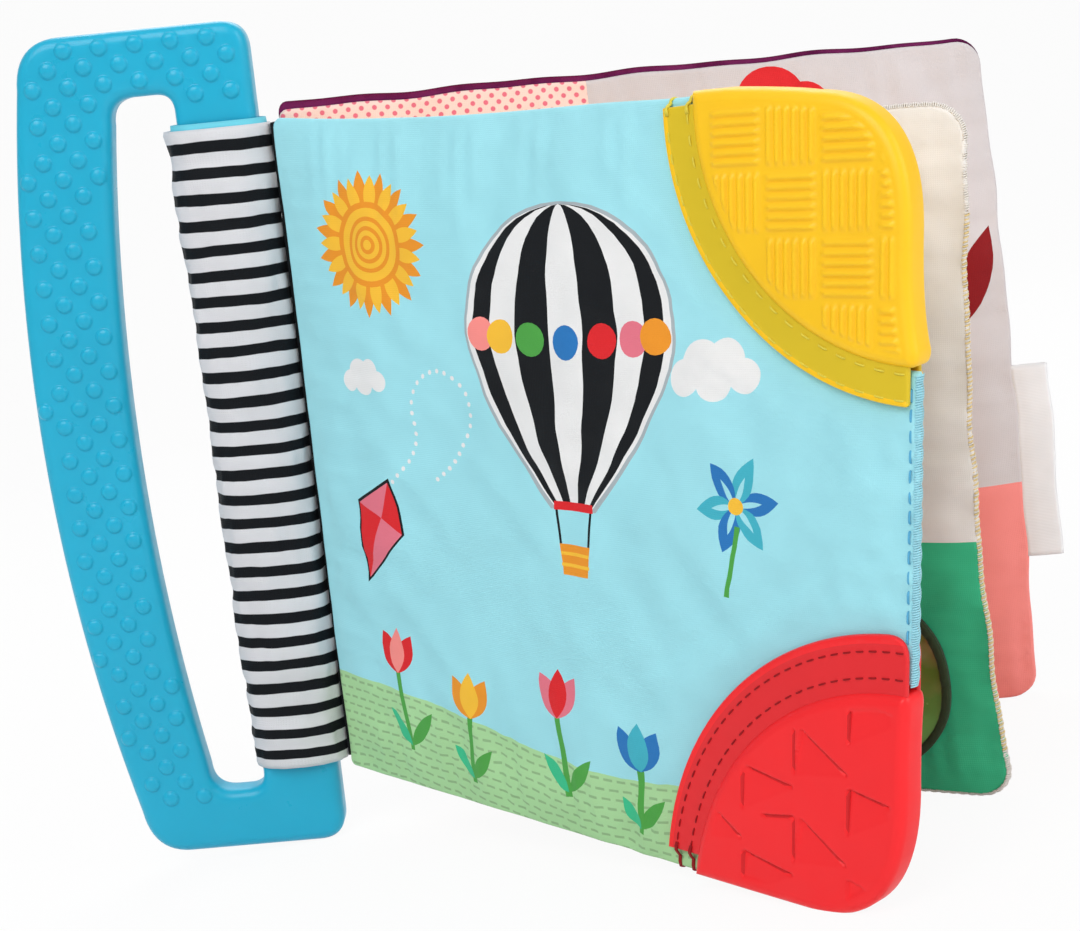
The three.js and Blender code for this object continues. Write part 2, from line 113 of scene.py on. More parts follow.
def place(name, millimetres, description):
    return bpy.props.FloatVectorProperty(
        name=name, description=description, default=[x * MM for x in millimetres],
        subtype="TRANSLATION", size=3, precision=4)


class LeafSizes(bpy.types.PropertyGroup):
    """Sizes of the three padded leaves."""

    cover_width: length("Cover width", 162, "From the gutter to a cover's outer edge")
    cover_height: length("Cover height", 154.5, "From a cover's bottom edge to its top edge")
    cover_thickness: length("Cover thickness", 7.6, "Through the middle of a cover's padding")
    cover_corner: length("Cover corner", 6, "Radius of a cover's sewn corners")
    front_twist: angle("Front twist", 7.5, "How far the front cover twists from bottom to top")
    back_twist: angle("Back twist", 7, "How far the back cover twists from bottom to top")
    page_width: length("Page width", 154, "From the gutter to the page's outer edge")
    page_height: length("Page height", 143.5, "From the page's bottom edge to its top edge")
    page_thickness: length("Page thickness", 6, "Through the middle of the page's padding")
    page_corner: length("Page corner", 7, "Radius of the page's sewn corners")
    seam_half: length("Seam half thickness", 0.95, "Half the thickness of a flat seam")
    seam_margin: length("Seam margin", 2, "Flat seam before the padding swells")
    crown_reach: length("Crown reach", 28, "Distance over which a leaf swells to its full thickness")
    mesh_spacing: length("Mesh spacing", 1.8, "Distance between points of a leaf's cloth")
    cover_sag: length("Cover sag", 2.3, "How far the front cover's top edge draws in")
    page_draw: length("Page draw", 2.6, "How far the page's outer edge draws in")
    page_drop: length("Page drop", 0.4, "How far the page's top edge falls towards its corner")
    page_lean: length("Page lean", 2.2, "How far the page's bottom corner leans out")
    back_bulge: length("Back bulge", 1.0, "How far the back cover's outer edge bulges")
    back_lean: length("Back lean", 1.8, "How far the back cover's bottom corner leans out")
    gutter_reach: length("Gutter reach", 1.1, "How far the front cover's foot reaches towards the sleeve")
    cover_dip: length("Cover dip", 1.2, "How far the front cover's top edge dips beside the top grip")


class SwellSizes(bpy.types.PropertyGroup):
    """How the padding presses the leaves' cloth outwards in the cloth simulation."""

    spacing: length("Spacing", 2.6, "Distance between points of the simulated cloth")
    growth: number("Growth", 0.02, "Share by which the cloth is larger than the flat leaf")
    pressure: number("Pressure", 1.0, "Pressure of the padding")
    bending: number("Bending", 0.5, "Stiffness of the cloth against bending")
    hold: number("Hold", 0.2, "How firmly the padding holds the cloth in place")
    frames: count("Frames", 20, "Steps of the simulation")
    limit: length("Limit", 0.95, "The most that a point may move off the plain swell")


class PuckerSizes(bpy.types.PropertyGroup):
    """Sizes of the small gathers along the leaves' seams."""

    depth: length("Pucker depth", 0.5, "Height of the gathers beside a seam")
    reach: length("Pucker reach", 6.5, "Distance from the seam at which the gathers are deepest")
    pitch: length("Pucker pitch", 7.5, "Distance between two gathers")
    scallop: length("Scallop", 0.35, "How far a topstitched edge bulges between two stitches")


class HandleSizes(bpy.types.PropertyGroup):
    """Sizes of the moulded handle."""

    bar_width: length("Bar width", 18.3, "Across the straight bar inside the sleeve")
    thickness: length("Thickness", 8.6, "From the handle's front face to its back face")
    edge: length("Edge radius", 2.5, "Rounding of the moulding's edges")
    grip_gap: length("Grip gap", 19.5, "From the bar to the grip")
    grip_width: length("Grip width", 21.8, "Across the grip")
    top_reach: length("Top reach", 22.4, "How far the handle stands above the covers")
    bottom_reach: length("Bottom reach", 18.8, "How far the handle reaches below the covers")
    top_wall: length("Top wall", 14.8, "Height of the moulding above the hole")
    bottom_wall: length("Bottom wall", 14.6, "Height of the moulding below the hole")
    grip_top_bulge: length("Grip top bulge", 6.3, "How far the grip's top end draws in")
    grip_bottom_bulge: length("Grip bottom bulge", 10.6, "How far the grip's bottom end draws in")
    hole_top_bulge: length("Hole top bulge", 4.9, "How far the hole's top end draws in")
    hole_bottom_bulge: length("Hole bottom bulge", 6.5, "How far the hole's bottom end draws in")
    bar_corner: length("Bar corner", 6.5, "Radius of the bar's outer corners")
    grip_corner: length("Grip corner", 11, "Radius of the grip's outer corners")
    hole_bar_corner: length("Hole bar corner", 4, "Radius of the hole's corners at the bar")
    hole_grip_corner: length("Hole grip corner", 6, "Radius of the hole's corners at the grip")
    end_bulge_share: number("End bulge share", 0.125, "Share of the bulge that rounds a grip end")
    sleeve_room: length("Sleeve room", 0.5, "How much thinner the bar is inside the sleeve")
    dot_pitch: length("Dot pitch", 8.1, "Distance between raised dots in a row")
    dot_radius: length("Dot radius", 1.95, "Radius of a raised dot")
    dot_height: length("Dot height", 0.72, "How far a dot stands above the face")
    dot_margin: length("Dot margin", 2.4, "Least distance from a dot's middle to an edge")
    dot_shift_x: length("Dot shift across", -44.1, "A dot's place across the handle, from the bar's axis")
    dot_shift_z: length("Dot shift up", 137.3, "The same dot's height above the covers' bottom edge")


class SleeveSizes(bpy.types.PropertyGroup):
    """Sizes of the striped sleeve and of what is sewn to it."""

    half_width: length("Half width", 12, "Half the sleeve's width")
    half_thickness: length("Half thickness", 7, "Half the sleeve's thickness")
    inset: length("End inset", 1.5, "From the covers' edge to the sleeve's end")
    cloth: length("Cloth", 0.8, "Thickness of the sleeve's cloth")
    lining_gap: length("Lining gap", 1.1, "From the sleeve's outside to the lining's outside")
    lining_reach: length("Lining reach", 1.6, "How far the lining stands out of the sleeve")
    stripes: count("Stripes", 26, "Number of black stripes")
    stripe_share: number("Stripe share", 0.44, "Share of each step that is black")
    ripple: length("Ripple", 0.16, "Height of the puffs between the stripes")
    fold: length("Fold", 0.7, "Depth of the slack cloth's folds")
    taper: length("Taper", 1.0, "How much narrower the sleeve's bottom is than its top")
    flare: length("Flare", 1.0, "How far the sleeve's top end flares away from the covers")


class TeetherSizes(bpy.types.PropertyGroup):
    """Sizes of the silicone corner teethers."""

    thickness: length("Grip thickness", 7, "Through the grip")
    edge: length("Grip edge", 1.9, "Rounding of the grip's edges")
    flange_half: length("Flange half thickness", 2.45, "From the cover's middle to the flange's face")
    flange_ply: length("Flange ply", 1.2, "Thickness of one ply of the flange")
    rim: length("Flange rim", 1.1, "Width of the thick bright rim round the flange")
    border: length("Relief border", 2.6, "Plain border round the grip's relief")
    cell: length("Weave cell", 12, "Side of one block of parallel ridges")
    ridge_pitch: length("Ridge pitch", 1.82, "Distance between two ridges in a block")
    ridge_height: length("Ridge height", 0.62, "How far a ridge stands above the face")
    facet_column: length("Facet column", 12.6, "Distance between two columns of facets")
    facet_row: length("Facet row", 17.1, "Distance between two facets in a column")
    facet_side: length("Facet side", 8.8, "Length of a facet's straight side")
    facet_height: length("Facet height", 0.6, "Depth of a facet where its creases meet")
    crease_half: length("Crease half", 0.33, "Half the width of a facet's crease")
    mesh_spacing: length("Mesh spacing", 0.36, "Distance between points of the relief")
    yellow_radius: length("Yellow radius", 49, "From the middle of the yellow grip's arc to the arc")
    yellow_across: length("Yellow across", 1.5, "Arc's middle, out from the cover's edge")
    yellow_up: length("Yellow up", -2.5, "Arc's middle, beyond the cover's top edge")
    yellow_flange: length("Yellow flange", 6.9, "Width of the yellow flange")
    yellow_overhang: length("Yellow overhang", -0.9, "How far the grip stands past the cover's outer edge")
    yellow_recess: length("Yellow recess", 0.3, "From the cover's top edge to the grip's long edge")
    yellow_fall: length("Yellow fall", 2.3, "How far the long edge falls towards its corner")
    yellow_corner_u: length("Yellow corner width", 21, "Width of the grip's rounded corner")
    yellow_corner_v: length("Yellow corner height", 27, "Height of the grip's rounded corner")
    yellow_flare: length("Yellow flare", 1.6, "How far the grip's end flares out")
    yellow_end: length("Yellow flange end", 1.2, "From the cover's outer edge to the flange's end")
    yellow_foot: length("Yellow flange foot", 2.7, "From the cover's top edge to the flange's other end")
    yellow_round: length("Yellow flange corner", 0.8, "Radius of the corner at the flange's end")
    red_radius: length("Red radius", 50, "From the middle of the red grip's arc to the arc")
    red_across: length("Red across", -1, "Arc's middle, out from the cover's edge")
    red_up: length("Red up", 2, "Arc's middle, beyond the cover's bottom edge")
    red_flange: length("Red flange", 7.3, "Width of the red flange")
    red_overhang: length("Red overhang", 0, "How far the grip stands past the cover's outer edge")
    red_recess: length("Red recess", 0.2, "From the cover's bottom edge to the grip's long edge")
    red_fall: length("Red fall", 0.2, "How far the long edge rises towards its corner")
    red_corner_u: length("Red corner width", 21, "Width of the grip's rounded corner")
    red_corner_v: length("Red corner height", 25, "Height of the grip's rounded corner")
    red_flare: length("Red flare", 0.2, "How far the grip's end flares out")
    red_end: length("Red flange end", 0.5, "From the cover's outer edge to the flange's end")
    red_foot: length("Red flange foot", 4.3, "From the cover's bottom edge to the flange's other end")
    yellow_slip: length("Yellow arc slip", 0, "How much nearer the long edge the grip's arc is centred")
    red_slip: length("Red arc slip", 3.2, "How much nearer the long edge the grip's arc is centred")
    red_round: length("Red flange corner", 4.5, "Radius of the corner at the flange's end")


class StitchSizes(bpy.types.PropertyGroup):
    """Sizes of the threads."""

    yellow_radius: length("Yellow thread", 0.2, "Half the thickness of the yellow thread")
    yellow_pitch: length("Yellow pitch", 4.2, "From the start of one yellow stitch to the next")
    yellow_stitch: length("Yellow stitch", 2.0, "Length of the thread that shows in one yellow stitch")
    red_radius: length("Red thread", 0.17, "Half the thickness of the red thread")
    red_pitch: length("Red pitch", 2.9, "From the start of one red stitch to the next")
    red_stitch: length("Red stitch", 1.6, "Length of the thread that shows in one red stitch")
    yellow_inset: length("Yellow inset", 1.1, "From the yellow flange's edge to its rows of stitches")
    red_inset: length("Red inset", 2.1, "From the red flange's edge to its rows of stitches")
    edge_inset: length("Edge row inset", 1.3, "From the front cover's edge to its topstitching")
    loop_pitch: length("Overlock pitch", 0.44, "Distance between two loops of overlock thread")
    front_reach: length("Front overlock reach", 0.55, "How far a loop reaches on to the front cover")
    page_reach: length("Page overlock reach", 0.4, "How far a loop reaches on to the page")
    loop_radius: length("Overlock thread", 0.18, "Half the thickness of overlock thread")
    page_bead: length("Page bead", 1.95, "Length of one bead of the page's overlock")
    front_bead: length("Front bead", 3.6, "Length of one scallop of the front cover's overlock")


class MirrorSizes(bpy.types.PropertyGroup):
    """Sizes of the mirror on the page."""

    radius: length("Mirror radius", 19.6, "Radius of the mirror film")
    film: length("Mirror film", 0.5, "Thickness of the mirror film")
    from_edge: length("Mirror from edge", 29.6, "From the page's outer edge to the mirror's middle")
    rise: length("Mirror rise", 25.2, "From the page's bottom edge to the mirror's middle")
    rim_width: length("Rim width", 1.0, "Across the rim")
    rim_thickness: length("Rim thickness", 1.5, "Height of the rim above the page")
    gap: length("Gap", 0.3, "Clearance between the sewn layers")


class LabelSizes(bpy.types.PropertyGroup):
    """Sizes of the folded loop label."""

    height: length("Label height", 45, "Length of the label along the cover's edge")
    reach: length("Label reach", 8, "How far the label stands out of the seam")
    rise: length("Label rise", 33.5, "From the cover's bottom edge to the label")
    thickness: length("Label thickness", 0.5, "Thickness of the label's tape")
    loop: length("Label loop", 0.6, "Clearance inside the folded label")


class PieceColours(bpy.types.PropertyGroup):
    """Colours of the book's materials."""

    handle: colour("Handle", "1BAFD2", "Blue silicone of the handle")
    sky: colour("Sky", "A2E3EE", "Sky of the front cover's print")
    hill: colour("Hill", "AEDDA2", "Hill of the front cover's print")
    white: colour("White", "EDEDED", "White print and stripes")
    black: colour("Black", "0B0F14", "Black print, stripes and tape")
    red: colour("Red", "E0252B", "Red print")
    rose: colour("Rose", "E8788A", "Pink print")
    coral: colour("Coral", "FF938D", "Coral print")
    orange: colour("Orange", "F0982A", "Orange print")
    sun: colour("Sun", "FBC23A", "Sun-yellow cloth and print")
    leaf: colour("Leaf", "4FA548", "Green leaves of the print")
    forest: colour("Forest", "3CC28E", "Green cloth of the page")
    blue: colour("Blue", "2A78BE", "Blue print")
    cream: colour("Cream", "EFECE8", "Cream cloth of the page")
    blush: colour("Blush", "D6CFD0", "Pale cloth inside the back cover")
    plum: colour("Plum", "7A1E5E", "Purple cloth outside the back cover")
    yellow_teether: colour("Yellow teether", "FFC918", "Yellow silicone")
    yellow_flange: colour("Yellow flange", "DBBE22", "Thin yellow silicone over blue cloth")
    red_teether: colour("Red teether", "FA2228", "Red silicone")
    red_flange: colour("Red flange", "E6262C", "Thin red silicone")
    yellow_thread: colour("Yellow thread", "EBDA50", "Thread in the yellow flange")
    red_thread: colour("Red thread", "A1141C", "Thread in the red flange")
    blue_thread: colour("Blue thread", "5FB4DE", "Topstitching of the front cover")
    warm_thread: colour("Warm thread", "F6DDA0", "Overlock thread of the page")
    # A warm tan rather than plain silver: partly a painted reflection of the surroundings
    mirror: colour("Mirror", "C2B896", "Silvered film")
    rim: colour("Rim", "2E3A22", "Piping round the mirror")
    label: colour("Label", "F1F1F3", "Ribbon of the blank label")
    padding: colour("Padding", "F4F4F0", "Soft fibre filling")
    film: colour("Film", "DDE3E6", "Crinkle film")
    floor: colour("Floor", "F2F2F2", "Floor and backdrop")


class StudioSettings(bpy.types.PropertyGroup):
    """The camera and the lamps."""

    eye: place("Camera place", (21.53, -415.16, 146.21), "Where the photograph is taken from")
    target: place("Camera target", (-1.29, 29.68, 82.24), "What the camera points at")
    roll: angle("Camera roll", -12.55, "How far the camera leans to its side")
    lens: number("Lens", 66.96, "Focal length in millimetres on a 36 mm wide frame")
    key: number("Key lamp", 10.4, "Power of the large lamp above the camera, in watts")
    fill: number("Fill lamp", 4.8, "Power of the lamp on the right, in watts")
    back: number("Back lamp", 4.8, "Power of the lamp behind the book, in watts")
    sky: number("Sky light", 0.42, "Strength of the even light from all round")
    backdrop: number("Backdrop", 0.93, "Share of plain white that the camera sees in the floor")


class BookSettings(bpy.types.PropertyGroup):
    """All settings of the book."""

    leaf: bpy.props.PointerProperty(name="Leaves", type=LeafSizes)
    swell: bpy.props.PointerProperty(name="Swell", type=SwellSizes)
    pucker: bpy.props.PointerProperty(name="Puckers", type=PuckerSizes)
    handle: bpy.props.PointerProperty(name="Handle", type=HandleSizes)
    sleeve: bpy.props.PointerProperty(name="Sleeve", type=SleeveSizes)
    teether: bpy.props.PointerProperty(name="Corner teethers", type=TeetherSizes)
    stitch: bpy.props.PointerProperty(name="Stitches", type=StitchSizes)
    mirror: bpy.props.PointerProperty(name="Mirror", type=MirrorSizes)
    label: bpy.props.PointerProperty(name="Label", type=LabelSizes)
    colours: bpy.props.PointerProperty(name="Colours", type=PieceColours)
    studio: bpy.props.PointerProperty(name="Studio", type=StudioSettings)


def settings():
    return bpy.context.scene.teether_book


# Outlines: arrays of points in a flat plane, counter-clockwise round the material

def arc(centre, radius, start, end, steps):
    turns = np.linspace(start, end, steps + 1)
    return np.column_stack([centre[0] + radius * np.cos(turns), centre[1] + radius * np.sin(turns)])


def circle(centre, radius, steps):
    return arc(centre, radius, 0, 2 * math.pi, steps)[:-1]


def curve(start, handle, end, steps=12):
    t = np.linspace(0, 1, steps + 1)[:, None]
    a, b, c = (np.array(p, float) for p in (start, handle, end))
    return (1 - t) ** 2 * a + 2 * t * (1 - t) * b + t ** 2 * c


def joined(*parts):
    """One closed outline from stretches, without doubled points."""
    points = np.vstack(parts)
    step = np.linalg.norm(points - np.roll(points, 1, axis=0), axis=1)
    return points[step > 1e-7]


def dense(outline, spacing):
    """The same closed outline with points no further apart than spacing."""
    pieces = []
    for a, b in zip(outline, np.roll(outline, -1, axis=0)):
        steps = max(1, math.ceil(np.linalg.norm(b - a) / spacing))
        pieces.append(a + (b - a) * (np.arange(steps) / steps)[:, None])
    return np.vstack(pieces)


def rounded_rectangle(left, bottom, right, top, radius, steps=8):
    corners = ((right - radius, bottom + radius), (right - radius, top - radius),
               (left + radius, top - radius), (left + radius, bottom + radius))
    return joined(*(arc(corner, radius, (k - 1) * QUARTER, k * QUARTER, steps) for k, corner in enumerate(corners)))


def inset_loop(loop, distance):
    """A closed loop moved to its left, into the material."""
    along = np.roll(loop, -1, axis=0) - loop
    along /= np.linalg.norm(along, axis=1)[:, None]
    left = np.column_stack([-along[:, 1], along[:, 0]])
    mean = left + np.roll(left, 1, axis=0)
    mean /= np.maximum(np.einsum("ij,ij->i", mean, mean) / 2, 0.6)[:, None]
    return loop + mean * distance


def inside(points, outline):
    """Which points lie inside a closed outline."""
    result = np.zeros(len(points), bool)
    low, high = outline.min(0), outline.max(0)
    near = np.flatnonzero(((points >= low) & (points <= high)).all(1))
    u, v = points[near].T
    odd = np.zeros(len(near), bool)
    for (u0, v0), (u1, v1) in zip(outline, np.roll(outline, -1, axis=0)):
        if v0 != v1:
            crosses = (v0 > v) != (v1 > v)
            odd ^= crosses & (u < u0 + (v - v0) * (u1 - u0) / (v1 - v0))
    result[near] = odd
    return result


def segment_distance(points, a, b):
    """Each point's distance to a straight line between two points."""
    along = b - a
    share = np.clip((points - a) @ along / (along @ along), 0, 1)
    gap = points - a - share[:, None] * along
    return np.sqrt(np.einsum("ij,ij->i", gap, gap))


def edge_distance(points, loops):
    """Each point's distance to the nearest edge of the loops."""
    best = np.full(len(points), np.inf)
    for loop in loops:
        for a, b in zip(loop, np.roll(loop, -1, axis=0)):
            np.minimum(best, segment_distance(points, a, b), out=best)
    return best


def hex_grid(low, high, spacing):
    rows = np.arange(low[1], high[1], spacing * math.sqrt(0.75))
    points = []
    for k, v in enumerate(rows):
        us = np.arange(low[0] + (k % 2) * spacing / 2, high[0], spacing)
        points.append(np.column_stack([us, np.full(len(us), v)]))
    return np.vstack(points)


class FlatSheet:
    """A flat outline cut into triangles, with a rounded edge and a relief."""

    edge_turns = (0, 0.18, 0.42, 0.7, 1)  # steps round the edge, as shares of its quarter turn

    def __init__(self, loops, edge, spacing, features=(), shapes=()):
        self.loops = [dense(loop, spacing * 1.2) for loop in loops]
        self.edge = edge
        lines = [*features, *(outline for _, outline in shapes)]
        parts, edges, total = [], [], 0
        for loop in self.loops:
            for turn in self.edge_turns:
                ring = inset_loop(loop, edge * (1 - math.cos(turn * QUARTER)))
                total = self.add(parts, edges, ring, total)
        for line in lines:
            total = self.add(parts, edges, dense(line, spacing * 1.3), total)
        grid = hex_grid(self.loops[0].min(0), self.loops[0].max(0), spacing)
        grid = grid[self.covers(grid)]
        grid = grid[edge_distance(grid, self.loops) > edge + spacing / 2]
        for line in lines:
            if len(grid):
                grid = grid[self.clear_of(grid, line, spacing * 0.4)]
        parts.append(grid)
        flat = [Vector(p) for p in np.vstack(parts)]
        points, _, faces, *_ = delaunay_2d_cdt(flat, edges, [], 0, 1e-7)
        self.points = np.array([p[:] for p in points])
        faces = np.array(faces)
        middles = self.points[faces].mean(1)
        keep = self.covers(middles)
        self.faces = faces[keep]
        self.paint = np.zeros(len(self.faces), int)
        middles = middles[keep]
        for k, (_, outline) in enumerate(shapes):
            self.paint[inside(middles, outline)] = k + 1
        self.drop_unused()

    @staticmethod
    def add(parts, edges, ring, total):
        parts.append(ring)
        n = len(ring)
        edges.extend((total + k, total + (k + 1) % n) for k in range(n))
        return total + n

    @staticmethod
    def clear_of(grid, outline, distance):
        low, high = outline.min(0) - distance, outline.max(0) + distance
        near = np.flatnonzero(((grid >= low) & (grid <= high)).all(1))
        keep = np.ones(len(grid), bool)
        if len(near):
            keep[near] = edge_distance(grid[near], [outline]) > distance
        return keep

    def covers(self, points):
        result = inside(points, self.loops[0])
        for hole in self.loops[1:]:
            result &= ~inside(points, hole)
        return result

    def drop_unused(self):
        used, renumbered = np.unique(self.faces, return_inverse=True)
        self.points = self.points[used]
        self.faces = renumbered.reshape(-1, 3)

    def profile(self):
        """Height of each point below the full face: the edge at its outline, and 0 inside."""
        gap = edge_distance(self.points, self.loops)
        share = 1 - np.clip(gap / self.edge, 0, 1)
        return -self.edge * (1 - np.sqrt(np.maximum(0, 1 - share ** 2)))


# Meshes and pieces

def make_piece(name, points, faces, materials, paint=None, cloth=None, rows=None):
    """A mesh object in the scene. cloth and rows are flat coordinates of its points, kept as UV maps."""
    mesh = bpy.data.meshes.new(name)
    mesh.from_pydata([tuple(p) for p in points], [], [tuple(int(k) for k in f) for f in faces])
    corners = np.zeros(len(mesh.loops), int)
    mesh.loops.foreach_get("vertex_index", corners)
    for layer_name, values in (("cloth", cloth), ("rows", rows)):
        if values is not None:
            layer = mesh.uv_layers.new(name=layer_name)
            layer.data.foreach_set("uv", np.asarray(values, float)[corners].ravel())
    for material in materials:
        mesh.materials.append(material)
    if paint is not None:
        mesh.polygons.foreach_set("material_index", np.asarray(paint, int))
    mesh.polygons.foreach_set("use_smooth", np.full(len(mesh.polygons), True))
    mesh.update()
    piece = bpy.data.objects.new(name, mesh)
    bpy.context.scene.collection.objects.link(piece)
    return piece


def settle(piece, body, slot, node):
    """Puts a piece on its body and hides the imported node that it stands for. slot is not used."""
    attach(piece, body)
    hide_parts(node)


def doubled(values):
    """What a sheet's points carry, for the front and again for the back of a closed shell."""
    return np.concatenate([values, values])


def shell_faces(sheet):
    """A closed shell over a sheet: its triangles, the same turned over behind them, and walls along its borders."""
    n = len(sheet.points)
    edges = {(f[k], f[(k + 1) % 3]) for f in sheet.faces for k in range(3)}
    walls = [(a + n, b + n, b, a) for a, b in edges if (b, a) not in edges]
    return [tuple(f) for f in sheet.faces] + [(a + n, c + n, b + n) for a, b, c in sheet.faces] + walls


def shell_paint(paint, faces):
    """A shell's material numbers: the sheet's own on both faces, and the first material on the walls."""
    return np.concatenate([paint, paint, np.zeros(len(faces) - 2 * len(paint), int)])


def slab(sheet, half, relief):
    """A closed plate from a flat sheet: (points across the plane and out of it, faces)."""
    rise = half + sheet.profile() + relief(sheet.points)
    front, back = (np.column_stack([sheet.points, way * rise]) for way in (1, -1))
    return np.vstack([front, back]), shell_faces(sheet)


def tube(path, radius, sides=6):
    """A round thread with closed ends along points: (points, faces)."""
    path = np.asarray(path, float)
    along = np.gradient(path, axis=0)
    along /= np.linalg.norm(along, axis=1)[:, None]
    start = np.array([0.0, 0, 1]) if abs(along[0][2]) < 0.9 else np.array([1.0, 0, 0])
    points, previous = [], start
    turns = 2 * math.pi * np.arange(sides) / sides
    for p, t in zip(path, along):
        side = previous - t * (previous @ t)
        side /= np.linalg.norm(side)
        previous = side
        points += [p + radius * (math.cos(turn) * side + math.sin(turn) * np.cross(t, side)) for turn in turns]
    faces = []
    for i in range(len(path) - 1):
        for k in range(sides):
            m = (k + 1) % sides
            faces.append((i * sides + k, i * sides + m, (i + 1) * sides + m, (i + 1) * sides + k))
    last = (len(path) - 1) * sides
    faces += [tuple(reversed(range(sides))), tuple(range(last, last + sides))]
    return np.array(points), faces


class Bundle:
    """Several meshes gathered into one."""

    def __init__(self):
        self.points, self.faces, self.paint, self.total = [], [], [], 0

    def add(self, points, faces, paint=0):
        self.points.append(np.asarray(points, float))
        self.faces += [tuple(int(k) + self.total for k in f) for f in faces]
        self.paint += list(np.broadcast_to(paint, len(faces)))
        self.total += len(points)

    def all_points(self):
        return np.vstack(self.points)


# The book's frame: the spine and the leaves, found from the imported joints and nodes

class Spine:
    """Axes along the handle's bar, with the origin at the covers' bottom edge."""

    def __init__(self):
        sizes = settings().leaf
        bar = joints["handle_turn"]
        self.up = np.array(bar["axis"], float)
        self.across = np.array([self.up[2], 0, -self.up[0]])
        self.across /= np.linalg.norm(self.across)
        self.behind = np.cross(self.up, self.across)
        self.origin = np.array(bar["pos_m"], float) - self.up * sizes.cover_height / 2

    def world(self, x, y, z):
        x, y, z = np.broadcast_arrays(x, y, z)
        return self.origin + x[..., None] * self.across + y[..., None] * self.behind + z[..., None] * self.up


class Grip:
    """A corner teether's place. Its flat shapes are drawn for a top corner; side -1 mirrors them to the bottom."""

    def __init__(self, name, side, width, height):
        sizes = settings().teether
        self.name, self.side, self.width, self.height = name, side, width, height
        for key in ("radius", "flange", "overhang", "recess", "fall", "corner_u", "corner_v", "flare",
                    "end", "foot", "round", "slip"):
            setattr(self, key, getattr(sizes, f"{name}_{key}"))
        self.middle = np.array([width + getattr(sizes, name + "_across"), height + getattr(sizes, name + "_up")])
        self.outer = self.radius + self.flange
        self.dip = settings().leaf.cover_dip if side > 0 else 0
        self.clear = self.outer + PADDING_GAP
        self.bite = self.radius + CLOTH_GAP

    def centre(self, radius):
        """The middle of an arc, which slips towards the long edge from the flange's outer arc to the grip's own."""
        return self.middle + (0, self.slip * min(1.0, max(0.0, (self.outer - radius) / self.flange)))

    def turns(self, radius, edge_gap, long_gap):
        """The angles at which an arc meets lines inside the leaf's two edges."""
        du = self.width - edge_gap - self.middle[0]
        dv = self.height - long_gap - self.centre(radius)[1]
        start = math.atan2(-math.sqrt(radius ** 2 - du ** 2), du)
        finish = math.atan2(dv, -math.sqrt(radius ** 2 - dv ** 2))
        return start, finish - (2 * math.pi if finish > 0 else 0)

    def arc(self, radius, edge_gap, long_gap, steps=40):
        return arc(self.centre(radius), radius, *self.turns(radius, edge_gap, long_gap), steps)

    def placed(self, outline):
        """An outline of the top corner, moved to the grip's own corner and kept counter-clockwise."""
        return outline if self.side > 0 else ((0, self.height) + outline * (1, -1))[::-1]

    def away(self, u, v):
        """Distance from the arc's middle."""
        return np.hypot(u - self.middle[0], (v if self.side > 0 else self.height - v) - self.middle[1])


